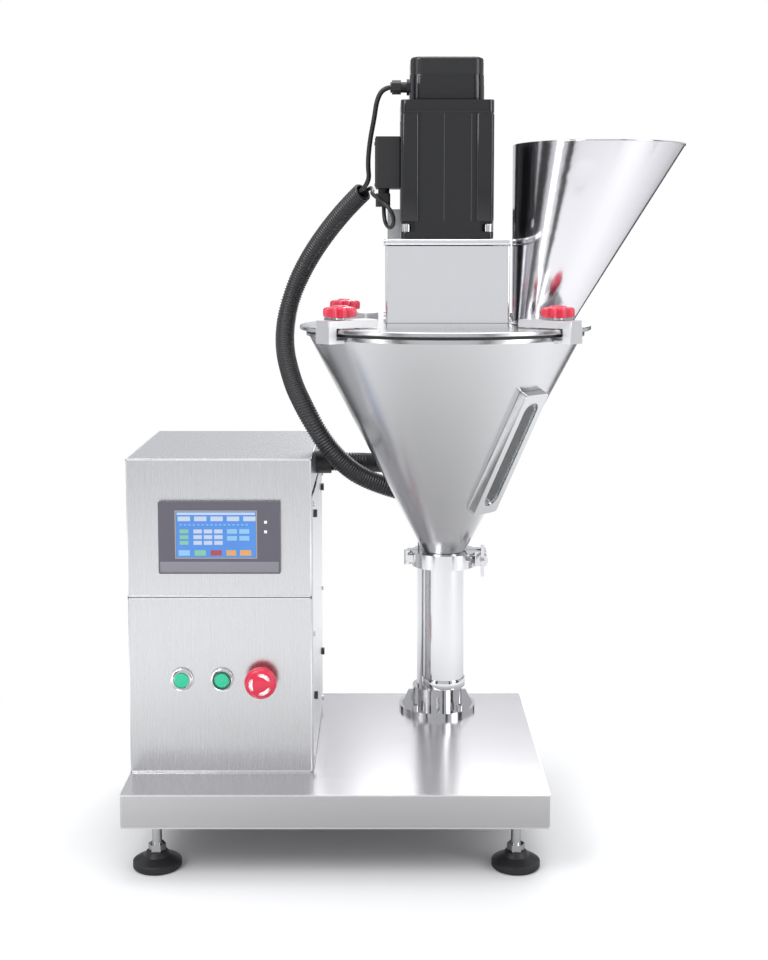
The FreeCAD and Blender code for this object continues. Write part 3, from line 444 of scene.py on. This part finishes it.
def make_display():
    """Lit glass with blank fields laid out on it; shares are of the screen's width and height."""
    low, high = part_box("hmi_screen")
    width, height = high.x - low.x, high.z - low.z
    front = low.y
    fields = {
        "ground": [(0.5, 0.5, 0.995, 0.995)],
        "pale": ([(0.5, 0.955, 0.98, 0.05)]
                 + [(0.10 + 0.205 * i, 0.845, 0.155, 0.10) for i in range(5)]
                 + [(0.27 + 0.13 * i, 0.57 - 0.125 * j, 0.105, 0.085) for i in range(3) for j in range(3)]),
        "line": [(0.06 + 0.055 * i, 0.715, 0.03, 0.028) for i in range(16)],
        "sky": ([(0.70 + 0.155 * i, 0.57 - 0.15 * j, 0.125, 0.10) for i in range(2) for j in range(2)]
                + [(0.10, 0.10, 0.14, 0.12)]),
        "leaf": [(0.10, 0.57, 0.11, 0.085), (0.10, 0.445, 0.11, 0.085), (0.10, 0.32, 0.11, 0.085),
                 (0.30, 0.10, 0.14, 0.12)],
        "wine": [(0.50, 0.10, 0.14, 0.12)],
        "amber": [(0.69, 0.10, 0.12, 0.12), (0.87, 0.10, 0.14, 0.12)],
    }
    for depth, (name, places) in enumerate(fields.items()):
        bm = bmesh.new()
        rise = 0.0001 if name == "ground" else 0.00025
        for x, z, w, h in places:
            facing_box(bm, low.x + x * width, low.z + z * height, w * width, h * height, front - rise, front + 0.0002)
        piece_from(bm, "display_" + name, DISPLAY[name], "frame", smooth=False)


def make_bezel():
    """Moulded frame with a rounded rim: adds a paler band below, a sunken lip round the glass and two status lamps at
    the right.
    """
    low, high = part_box("hmi_bezel")
    slow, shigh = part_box("hmi_screen")
    front = low.y
    bm = bmesh.new()
    facing_box(bm, (low.x + high.x) / 2, low.z + 0.0085, high.x - low.x - 0.004, 0.0135, front - 0.0006, front + 0.001,
               0.0005)
    piece_from(bm, "bezel_band", M["frame_pale"], "frame")
    bm = bmesh.new()
    edge = 0.0016
    for x, z, w, h in (((slow.x + shigh.x) / 2, shigh.z + edge / 2, shigh.x - slow.x + 2 * edge, edge),
                       ((slow.x + shigh.x) / 2, slow.z - edge / 2, shigh.x - slow.x + 2 * edge, edge),
                       (slow.x - edge / 2, (slow.z + shigh.z) / 2, edge, shigh.z - slow.z),
                       (shigh.x + edge / 2, (slow.z + shigh.z) / 2, edge, shigh.z - slow.z)):
        facing_box(bm, x, z, w, h, front - 0.0004, front + 0.0006, 0.0003)
    piece_from(bm, "screen_lip", M["lip"], "frame")
    bm = bmesh.new()
    for z in (shigh.z - 0.013, shigh.z - 0.025):
        facing_box(bm, shigh.x + 0.012, z, 0.0035, 0.0035, front - 0.0003, front + 0.0006, 0.0002)
    piece_from(bm, "status_lamps", M["white"], "frame")


# ---------------------------------------------------------------- push buttons
def towards_front(bm, verts, centre):
    """Turns verts built upright so that up becomes -Y, about centre."""
    bmesh.ops.rotate(bm, verts=verts, cent=centre, matrix=Matrix.Rotation(math.radians(90), 3, "X"))


def dial(name, profile, centre, material, body, steps=64, closed=True):
    """Piece turned about the line through centre towards -Y, from (radius, forward) points."""
    bm = bmesh.new()
    spun(bm, profile, centre, steps, closed)
    towards_front(bm, bm.verts, centre)
    return piece_from(bm, name, material, body)


def make_buttons():
    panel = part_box("front_panel_lower")[0].y
    for index, name in enumerate(("button_start", "button_run")):
        low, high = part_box(name)
        centre = Vector(((low.x + high.x) / 2, low.y, (low.z + high.z) / 2))
        body = name.replace("button_", "") + "_button"
        dial(name + "_dome", [(0, 0.0002), (0.0045, 0.0001), (0.0070, -0.0003), (0.0085, -0.0011), (0.0085, -0.004),
                              (0, -0.004)], centre, M["green"], body)
        ring_at = Vector((centre.x, panel, centre.z))
        dial(name + "_chrome", [(0.0093, 0.0015), (0.0095, 0.0048), (0.0103, 0.0056), (0.0122, 0.0054), (0.0138, 0.0044),
                                (0.0147, 0.0022), (0.0148, 0.0002), (0.0135, 0.0002), (0.0130, 0.0016)],
             ring_at, M["chrome"], "frame")
        if index:
            dial("run_dark_ring", [(0.0094, 0.0050), (0.0096, 0.0062), (0.0114, 0.0062), (0.0118, 0.0052)],
                 ring_at, M["green_ring"], "frame")


def make_stop_head():
    """Domed mushroom with a rolled edge, a raised hub and three curved marks."""
    low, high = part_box("estop_head")
    centre = Vector(((low.x + high.x) / 2, low.y, (low.z + high.z) / 2))
    r = (high.x - low.x) / 2
    dome = [(0, 0.0), (0.0060, -0.0001), (0.0085, -0.0006), (0.0100, -0.0012), (0.0140, -0.0016), (0.0168, -0.0026),
            (0.0185, -0.0042), (r - 0.0003, -0.0066), (r, -0.0085), (r - 0.0006, -0.0112), (r - 0.0030, -0.0120),
            (0.0140, -0.0120), (0.0138, -0.0148), (0.0066, -0.0150), (0.0066, -0.0095), (0, -0.0095)]
    head = dial("stop_mushroom", dome, centre, M["stop"], "estop_button", steps=96)
    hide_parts("estop_head")
    bm = bmesh.new()
    for turn in range(3):
        start = math.radians(120 * turn + 20)
        arc = [start + math.radians(84) * k / 16 for k in range(17)]
        loop = [(0.0139 * math.cos(a), 0.0139 * math.sin(a)) for a in arc]
        loop += [(0.0119 * math.cos(a), 0.0119 * math.sin(a)) for a in arc[::-1]]
        verts = [bm.verts.new((centre.x + x, centre.y + 0.0010, centre.z + z)) for x, z in loop]
        face = bmesh.ops.contextual_create(bm, geom=verts)["faces"]
        grown = bmesh.ops.extrude_face_region(bm, geom=face)["geom"]
        bmesh.ops.translate(bm, vec=(0, 0.0009, 0), verts=[v for v in grown if isinstance(v, bmesh.types.BMVert)])
    piece_from(bm, "stop_arrows", M["white"], "estop_button", smooth=False)
    ring_at = Vector((centre.x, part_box("front_panel_lower")[0].y, centre.z))
    dial("stop_collar", [(0.0068, 0.0015), (0.0090, 0.0052), (0.0120, 0.0050), (0.0145, 0.0036), (0.0148, 0.0002),
                         (0.0130, 0.0002), (0.0100, 0.0012)], ring_at, M["chrome"], "frame")


# ---------------------------------------------------------------- star knobs
CLAMPS = ("front_left", "front_right", "rear_left", "rear_right")


def star_ring(lobes, radius, depth, count):
    return [(radius - depth * (0.5 - 0.5 * math.cos(lobes * TAU * k / count)), TAU * k / count)
            for k in range(count)]


def make_knob(name):
    """Ribbed star grip: lobed body with a rolled edge, a cap with a raised boss, and a steel washer below."""
    low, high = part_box("clamp_knob_" + name)
    x, y, base, top = (low.x + high.x) / 2, (low.y + high.y) / 2, low.z, high.z
    count, lobes = 160, 10
    bm = bmesh.new()
    levels = ((0.0150, 0.0010, 0.0030), (0.0188, 0.0040, 0.0036), (0.0197, 0.0052, 0.0055), (0.0198, 0.0056, 0.0090),
              (0.0196, 0.0052, 0.0125), (0.0182, 0.0042, 0.0142), (0.0152, 0.0020, 0.0150), (0.0110, 0.0, 0.0153),
              (0.0090, 0.0, 0.0160), (0.0084, 0.0, 0.0168), (0.0070, 0.0, 0.0170))
    rings = [[bm.verts.new((x + r * math.cos(a), y + r * math.sin(a), base + z))
              for r, a in star_ring(lobes, radius, depth, count)] for radius, depth, z in levels]
    loops = [[bm.edges.new((ring[k], ring[(k + 1) % count])) for k in range(count)] for ring in rings]
    for first, second in zip(loops, loops[1:]):
        bmesh.ops.bridge_loops(bm, edges=first + second)
    bmesh.ops.contextual_create(bm, geom=loops[-1])
    bmesh.ops.contextual_create(bm, geom=loops[0])
    grip = piece_from(bm, "star_knob_" + name, M["red"], "knob_" + name, angle=50)
    bm = bmesh.new()
    spun(bm, [(0.0042, 0.0002), (0.0085, 0.0002), (0.0088, 0.0008), (0.0088, 0.0022), (0.0074, 0.0028),
              (0.0074, 0.0044), (0.0042, 0.0044)], (x, y, base), 48)
    nut = piece_from(bm, "knob_washer_" + name, M["bright"], "knob_" + name)
    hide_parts("clamp_knob_" + name)


def make_knobs():
    for name in CLAMPS:
        make_knob(name)


DISPLAY = {
    "ground": lit("display_ground", (0.075, 0.30, 0.86)),
    "pale": lit("display_pale", (0.62, 0.72, 0.90)),
    "line": lit("display_line", (0.30, 0.52, 0.95)),
    "sky": lit("display_sky", (0.30, 0.62, 0.95)),
    "leaf": lit("display_leaf", (0.25, 0.62, 0.42)),
    "wine": lit("display_wine", (0.42, 0.06, 0.08)),
    "amber": lit("display_amber", (0.85, 0.42, 0.12)),
}
M["chrome"] = steel("button_chrome", (0.78, 0.78, 0.79), 0.10, (500, 500, 500), tone=0.02, spread=0.05, bump=0.01)
M["lip"] = moulded("screen_lip", (0.30, 0.30, 0.33), 0.4)
make_bezel()
make_display()
make_buttons()
make_stop_head()
make_knobs()


# ---------------------------------------------------------------- motor and encoder housing
def square_tube(bm, centre, half, z0, z1, corner, segments=6):
    """Adds an upright square block with rounded corners and softly broken ends."""
    made = block(bm, (centre.x - half, centre.y - half, z0), (centre.x + half, centre.y + half, z1))
    sides = list({e for v in made for e in v.link_edges if abs(e.verts[0].co.z - e.verts[1].co.z) > 1e-5})
    result = bmesh.ops.bevel(bm, geom=sides, offset=corner, segments=segments, profile=0.5, affect="EDGES",
                             material=-1)
    verts = {v for f in result["faces"] for v in f.verts}
    ends = [e for e in {e for v in verts for e in v.link_edges} if abs(e.verts[0].co.z - e.verts[1].co.z) < 1e-6
            and len(e.link_faces) == 2]
    flat = [e for e in ends if any(abs(f.normal.z) > 0.9 for f in e.link_faces)]
    bmesh.ops.bevel(bm, geom=flat, offset=0.0008, segments=2, profile=0.5, affect="EDGES", material=-1)


def make_motor():
    low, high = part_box("motor_body")
    centre = Vector(((low.x + high.x) / 2, (low.y + high.y) / 2, 0))
    half = (high.x - low.x) / 2
    bm = bmesh.new()
    square_tube(bm, centre, half + 0.0007, high.z - 0.0155, high.z, 0.0075)
    piece_from(bm, "motor_top_bell", M["motor"], "frame")
    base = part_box("head_box_cover")[1].z
    bm = bmesh.new()
    square_tube(bm, centre, half + 0.0005, base + 0.0004, base + 0.0085, 0.0065)
    piece_from(bm, "motor_flange_skin", M["motor"], "frame")
    bm = bmesh.new()
    for sx in (-1, 1):
        for sy in (-1, 1):
            at = centre + Vector((sx * (half - 0.0105), sy * (half - 0.0105), 0))
            square_tube(bm, at, 0.0112, base + 0.0215, high.z - 0.0168, 0.0048)
    piece_from(bm, "motor_corner_columns", M["motor"], "frame")
    bm = bmesh.new()
    for sy in (-1, 1):
        face = centre.y + sy * half
        for x in (-0.004, 0.0285):
            block(bm, (centre.x + x - 0.0004, face - 0.0003, base + 0.022),
                  (centre.x + x + 0.0004, face + 0.0003, high.z - 0.0165))
    piece_from(bm, "motor_panel_lines", M["seam"], "frame", smooth=False)


def socket_head(bm, centre, radius, height, axis=(0, 0, 1)):
    """Adds a cap screw's head with its socket, standing on centre along axis."""
    before = set(bm.verts)
    spun(bm, [(0, height * 0.45), (radius * 0.48, height * 0.45), (radius * 0.50, height), (radius * 0.88, height),
              (radius, height * 0.90), (radius, 0), (0, 0)], centre, 28)
    made = [v for v in bm.verts if v not in before]
    turn_to(bm, made, axis, centre)


def make_head_screws():
    low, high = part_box("motor_body")
    x, y, reach = (low.x + high.x) / 2, (low.y + high.y) / 2, 0.049
    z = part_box("head_box_cover")[1].z + 0.0088
    bm = bmesh.new()
    for sx in (-1, 1):
        for sy in (-1, 1):
            socket_head(bm, (x + sx * reach, y + sy * reach, z), 0.0056, 0.0095)
    piece_from(bm, "motor_cap_screws", M["bright"], "frame")
    low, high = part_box("head_bracket")
    bm = bmesh.new()
    for side in (-1, 1):
        for z in (0.691, 0.731):
            socket_head(bm, (x + side * 0.046, high.y - 0.0085, z), 0.0062, 0.0065, (side, 0, 0))
    piece_from(bm, "bracket_clamp_screws", M["bright"], "frame")


def make_encoder():
    low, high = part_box("encoder_cap")
    centre = Vector(((low.x + high.x) / 2, (low.y + high.y) / 2, 0))
    half = (high.x - low.x) / 2
    bm = bmesh.new()
    square_tube(bm, centre, half + 0.0009, low.z + 0.0006, low.z + 0.0310, 0.016, 10)
    piece_from(bm, "encoder_band", M["motor"], "frame")
    bm = bmesh.new()
    for sx, sy in ((-1, -1), (1, -1), (-1, 1), (1, 1)):
        spun(bm, [(0, 0.0026), (0.0010, 0.0026), (0.0024, 0.0022), (0.0028, 0.0008), (0.0028, -0.002), (0, -0.002)],
             (centre.x + sx * (half - 0.0125), centre.y + sy * (half + 0.0002 - 0.0125), low.z + 0.0310), 20)
    piece_from(bm, "encoder_screws", M["bright"], "frame")


def make_connector():
    low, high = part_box("connector_box")
    bm = bmesh.new()
    block(bm, (low.x - 0.0008, low.y + 0.002, low.z + 0.002), (low.x + 0.001, high.y - 0.002, high.z - 0.002),
          0.0006, 2)
    piece_from(bm, "connector_lid", M["box"], "frame")
    bm = bmesh.new()
    for y in (low.y + 0.006, high.y - 0.006):
        for z in (low.z + 0.006, high.z - 0.006):
            made = bmesh.ops.create_cone(bm, cap_ends=True, segments=20, radius1=0.0022, radius2=0.0018, depth=0.0012)
            turn_to(bm, made["verts"], (-1, 0, 0), (0, 0, 0))
            bmesh.ops.translate(bm, vec=(low.x - 0.0013, y, z), verts=made["verts"])
    piece_from(bm, "connector_screws", M["bright"], "frame")


# ---------------------------------------------------------------- head box
def make_head():
    low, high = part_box("head_box_cover")
    bm = bmesh.new()
    block(bm, (low.x - 0.0009, low.y - 0.0009, low.z + 0.0007), (high.x + 0.0009, high.y + 0.0004, high.z),
          0.0022, 4)
    cover = piece_from(bm, "head_cover_plate", M["head"], "frame")
    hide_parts("head_box_cover")
    bm = bmesh.new()
    blow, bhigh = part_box("head_box")
    for z in (low.z, blow.z + 0.0052):
        block(bm, (blow.x - 0.0001, blow.y - 0.0001, z - 0.0003), (bhigh.x + 0.0001, bhigh.y, z + 0.0003))
    piece_from(bm, "head_seams", M["seam"], "frame", smooth=False)


# ---------------------------------------------------------------- cabinet
def make_cabinet():
    """Folded edge strips round the two front panels, the seam between them and the roof's drip fold; the strips' steel
    is painted lighter than the sheet as a painted highlight.
    """
    low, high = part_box("cabinet_body")
    lower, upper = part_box("front_panel_lower"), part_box("front_panel_upper")
    front = lower[0].y
    bm = bmesh.new()
    strip, rise = 0.0019, 0.0004
    for a, b in (lower, upper):
        for x0, x1, z0, z1 in ((a.x, a.x + strip, a.z, b.z), (b.x - strip, b.x, a.z, b.z),
                               (a.x, b.x, a.z, a.z + strip), (a.x, b.x, b.z - strip, b.z)):
            block(bm, (x0, front - rise, z0), (x1, front + 0.0006, z1), 0.0003, 2)
    piece_from(bm, "panel_folded_edges", M["edge"], "frame")
    bm = bmesh.new()
    seam = (lower[1].z + upper[0].z) / 2
    block(bm, (low.x + 0.0005, front + 0.0004, seam - 0.0005), (high.x - 0.0005, front + 0.0012, seam + 0.0005))
    piece_from(bm, "panel_seam", M["seam"], "frame", smooth=False)
    bm = bmesh.new()
    for x in (low.x, high.x):
        s = 1 if x == low.x else -1
        block(bm, (min(x, x + s * 0.0014), front + 0.0002, high.z - 0.0012),
              (max(x, x + s * 0.0014), high.y - 0.0002, high.z + 0.0003), 0.0004, 2)
    block(bm, (low.x, front - 0.0002, high.z - 0.0012), (high.x, front + 0.0014, high.z + 0.0003), 0.0004, 2)
    piece_from(bm, "roof_edges", M["edge"], "frame")


def make_inlet():
    """Three contact blades in the mains socket and the two screws of its flange."""
    low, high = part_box("power_inlet")
    mid = (low + high) / 2
    bm = bmesh.new()
    for x, z in ((-0.005, -0.002), (0.005, -0.002), (0, 0.003)):
        block(bm, (mid.x + x - 0.001, high.y - 0.014, mid.z + z - 0.002),
              (mid.x + x + 0.001, high.y - 0.003, mid.z + z + 0.002), 0.0003, 2)
    piece_from(bm, "inlet_blades", M["bright"], "frame")
    bm = bmesh.new()
    for z in (low.z + 0.0045, high.z - 0.0045):
        made = bmesh.ops.create_cone(bm, cap_ends=True, segments=24, radius1=0.0030, radius2=0.0022, depth=0.0014)
        turn_to(bm, made["verts"], (0, 1, 0), (0, 0, 0))
        bmesh.ops.translate(bm, vec=(mid.x, high.y + 0.0004, z), verts=made["verts"])
    piece_from(bm, "inlet_screws", M["bright"], "frame")


def make_tray():
    """Broken edge round the tray's top, and the folded edge below, both in the lighter steel that paints a highlight
    along them.
    """
    low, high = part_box("base_tray")
    for name, z, drop in (("tray_top_edge", high.z, 0.0016), ("tray_low_edge", low.z + 0.0014, 0.0012)):
        bm = bmesh.new()
        outer = block(bm, (low.x, low.y - 0.0003, z - drop), (high.x + 0.0003, high.y + 0.0003, z + 0.0002))
        sides = list({e for v in outer for e in v.link_edges if abs(e.verts[0].co.z - e.verts[1].co.z) > 1e-5})
        bmesh.ops.bevel(bm, geom=sides, offset=0.003, segments=5, profile=0.5, affect="EDGES", material=-1)
        caps = [f for f in bm.faces if abs(f.normal.z) > 0.9]
        inner = bmesh.ops.inset_region(bm, faces=caps, thickness=0.0012, depth=0)
        bmesh.ops.delete(bm, geom=caps, context="FACES")
        piece_from(bm, name, M["edge"], "frame")


# ---------------------------------------------------------------- hopper
def ring_piece(name, profile, centre, material, steps=128):
    bm = bmesh.new()
    spun(bm, profile, centre, steps)
    piece = piece_from(bm, name, material, "frame")
    return piece


def make_hopper():
    """Rounded edges on the collar at the auger tube's end."""
    tube_low, tube_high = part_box("auger_tube")
    axis = Vector(((tube_low.x + tube_high.x) / 2, (tube_low.y + tube_high.y) / 2, tube_low.z))
    ring_piece("tube_collar_edges", [(0.0268, 0.0), (0.0272, 0.0008), (0.0272, 0.0100), (0.0268, 0.0110),
                                     (0.0262, 0.0108), (0.0262, 0.0002)], axis, M["polished"])


def make_chute():
    """Wired lip round the chute's mouth and a weld bead round its foot."""
    low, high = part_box("feed_chute")
    node = nodes["feed_chute"]
    top = [v.co for v in node.data.vertices if v.co.z > high.z - 1e-5]
    foot = [v.co for v in node.data.vertices if v.co.z < low.z + 1e-5]
    for name, points, thick in (("chute_lip", top, 0.0011), ("chute_weld", foot, 0.0014)):
        x0, x1 = min(p.x for p in points), max(p.x for p in points)
        y = (min(p.y for p in points) + max(p.y for p in points)) / 2
        z = high.z - thick if name == "chute_lip" else low.z + thick * 0.7
        r = (x1 - x0) / 2 - (thick if name == "chute_lip" else -thick * 0.3)
        profile = [(r + thick * math.cos(TAU * k / 12), thick * math.sin(TAU * k / 12)) for k in range(12)]
        ring_piece(name, profile, Vector(((x0 + x1) / 2, y, z)), M["polished"])


# edge steel: the same stainless as the sheet, painted lighter (0.92 against 0.68) as a painted highlight along the
# folded edges.
M["edge"] = steel("edge_steel_painted_highlight", (0.92, 0.92, 0.93), 0.30, (600, 600, 600), tone=0.02, spread=0.06, bump=0.02)
# head steel: the mirror steel painted lighter (0.93 against 0.70), a painted sheen that makes the head box and its
# cover read brighter.
M["head"] = steel("head_steel_painted_sheen", (0.93, 0.93, 0.94), 0.16, (60, 60, 14), tone=0.02, spread=0.06, bump=0.01)
M["seam"] = moulded("seam_shadow", (0.05, 0.05, 0.055), 0.5)
M["chute"] = steel("chute_polish", (0.74, 0.735, 0.76), 0.14, (30, 30, 6), tone=0.02, spread=0.05, bump=0.01)
nodes["head_box"].material_slots[0].material = M["head"]
nodes["feed_chute"].material_slots[0].material = M["chute"]
make_motor()
make_head_screws()
make_encoder()
make_connector()
make_head()
make_cabinet()
make_inlet()
make_tray()
make_hopper()
make_chute()


# ---------------------------------------------------------------- floor, light and cards
def stage_plane(name, size, place, aim=None, colour=(0.8, 0.8, 0.8), glow=0.0, hidden=True):
    """Staged card: a flat panel that the polished parts reflect."""
    bm = bmesh.new()
    bmesh.ops.create_grid(bm, x_segments=1, y_segments=1, size=0.5)
    bmesh.ops.scale(bm, vec=(size[0], size[1], 1), verts=bm.verts)
    mesh = bpy.data.meshes.new(name)
    bm.to_mesh(mesh)
    bm.free()
    card = bpy.data.objects.new(name, mesh)
    bpy.context.scene.collection.objects.link(card)
    material, tree, shader = material_base(name, Base_Color=(*colour, 1), Roughness=0.9)
    shader.inputs["Emission Color"].default_value = (*colour, 1)
    shader.inputs["Emission Strength"].default_value = glow
    mesh.materials.append(material)
    card.location = place
    if aim is not None:
        card.rotation_euler = (Vector(aim) - Vector(place)).to_track_quat("Z", "Y").to_euler()
    if hidden:
        card.visible_camera = False
        card.visible_shadow = False
        card.visible_diffuse = False
    return card


def make_world():
    world = bpy.data.worlds.new("world")
    bpy.context.scene.world = world
    world.use_nodes = True
    tree = world.node_tree
    plain, bright = tree.nodes["Background"], tree.nodes.new("ShaderNodeBackground")
    plain.inputs["Color"].default_value = (0.80, 0.81, 0.84, 1)
    plain.inputs["Strength"].default_value = 0.85
    bright.inputs["Color"].default_value = (1, 1, 1, 1)
    bright.inputs["Strength"].default_value = 1.0
    path, mix = tree.nodes.new("ShaderNodeLightPath"), tree.nodes.new("ShaderNodeMixShader")
    seen = tree.nodes.new("ShaderNodeMath"); seen.operation = "MAXIMUM"
    tree.links.new(path.outputs["Is Camera Ray"], seen.inputs[0])
    tree.links.new(path.outputs["Is Transmission Ray"], seen.inputs[1])
    tree.links.new(seen.outputs[0], mix.inputs["Fac"])
    tree.links.new(plain.outputs[0], mix.inputs[1])
    tree.links.new(bright.outputs[0], mix.inputs[2])
    tree.links.new(mix.outputs[0], tree.nodes["World Output"].inputs["Surface"])


def make_floor():
    """Pale floor that fades to the white ground; seen in reflections only, its colour is painted darker towards the
    machine, a painted contact shadow.
    """
    floor = stage_plane("floor", (14, 14), (0, 0, -0.0005), colour=(0.86, 0.86, 0.86), hidden=False)
    tree = floor.data.materials[0].node_tree
    shader, out = tree.nodes["Principled BSDF"], tree.nodes["Material Output"]
    coords, size = tree.nodes.new("ShaderNodeTexCoord"), tree.nodes.new("ShaderNodeVectorMath")
    size.operation = "LENGTH"
    tree.links.new(coords.outputs["Object"], size.inputs[0])
    fade, shade = tree.nodes.new("ShaderNodeMapRange"), tree.nodes.new("ShaderNodeMapRange")
    path, white = tree.nodes.new("ShaderNodeLightPath"), tree.nodes.new("ShaderNodeEmission")
    # shade: painted shade, the floor colour that glossy rays see runs from 0.38 near the machine to 0.86 far off.
    for node, near, far, low, high in ((fade, 0.42, 0.85, 0.0, 1.0), (shade, 0.25, 1.1, 0.38, 0.86)):
        node.interpolation_type = "SMOOTHSTEP"
        node.inputs["From Min"].default_value, node.inputs["From Max"].default_value = near, far
        node.inputs["To Min"].default_value, node.inputs["To Max"].default_value = low, high
        tree.links.new(size.outputs["Value"], node.inputs["Value"])
    pick = tree.nodes.new("ShaderNodeMix"); pick.data_type = "FLOAT"
    pick.inputs["A"].default_value = 0.86
    tree.links.new(path.outputs["Is Glossy Ray"], pick.inputs["Factor"])
    tree.links.new(shade.outputs["Result"], pick.inputs["B"])
    tree.links.new(pick.outputs["Result"], shader.inputs["Base Color"])
    seen = tree.nodes.new("ShaderNodeMath"); seen.operation = "MULTIPLY"
    tree.links.new(fade.outputs["Result"], seen.inputs[0])
    tree.links.new(path.outputs["Is Camera Ray"], seen.inputs[1])
    mix = tree.nodes.new("ShaderNodeMixShader")
    tree.links.new(seen.outputs[0], mix.inputs["Fac"])
    tree.links.new(shader.outputs[0], mix.inputs[1])
    tree.links.new(white.outputs[0], mix.inputs[2])
    tree.links.new(mix.outputs[0], out.inputs["Surface"])


def area(name, place, aim, size, watts, colour=(1, 1, 1)):
    data = bpy.data.lights.new(name, "AREA")
    data.shape, data.size, data.size_y = "RECTANGLE", size[0], size[1]
    data.energy, data.color = watts, colour
    lamp = bpy.data.objects.new(name, data)
    lamp.location = place
    lamp.rotation_euler = (Vector(aim) - Vector(place)).to_track_quat("-Z", "Y").to_euler()
    bpy.context.scene.collection.objects.link(lamp)


# name, turn about the auger from the front, width, tone, glow
CARDS = (("card_far_left", -78, 0.55, 0.02, 0), ("card_left_glow", -55, 0.22, 0.95, 2.2),
         ("card_left_dark", -38, 0.30, 0.02, 0), ("card_right_dark", 30, 0.24, 0.02, 0),
         ("card_right_glow", 52, 0.24, 0.95, 2.2), ("card_far_right", 76, 0.55, 0.03, 0),
         ("card_rear_left", -140, 0.45, 0.03, 0), ("card_rear_right", 150, 0.45, 0.03, 0))


def make_stage():
    make_world()
    make_floor()
    area("key", (-1.4, -1.6, 2.2), (0, 0, 0.5), (1.2, 1.6), 38)
    area("fill", (1.9, -1.2, 1.3), (0, 0, 0.5), (0.8, 1.8), 16)
    area("top", (0.1, 0.1, 2.6), (0, 0, 0.4), (1.6, 1.6), 24)
    area("rear", (0.6, 2.2, 1.8), (0, 0, 0.5), (1.6, 1.2), 18)
    for name, turn, width, tone, glow in CARDS:
        a = math.radians(turn)
        place = (0.05 + 1.75 * math.sin(a), -0.046 - 1.75 * math.cos(a), 0.85)
        stage_plane(name, (width, 2.4), place, (0.05, -0.046, 0.85), (tone,) * 3, glow)


make_stage()
bpy.context.scene.view_settings.view_transform = "Standard"
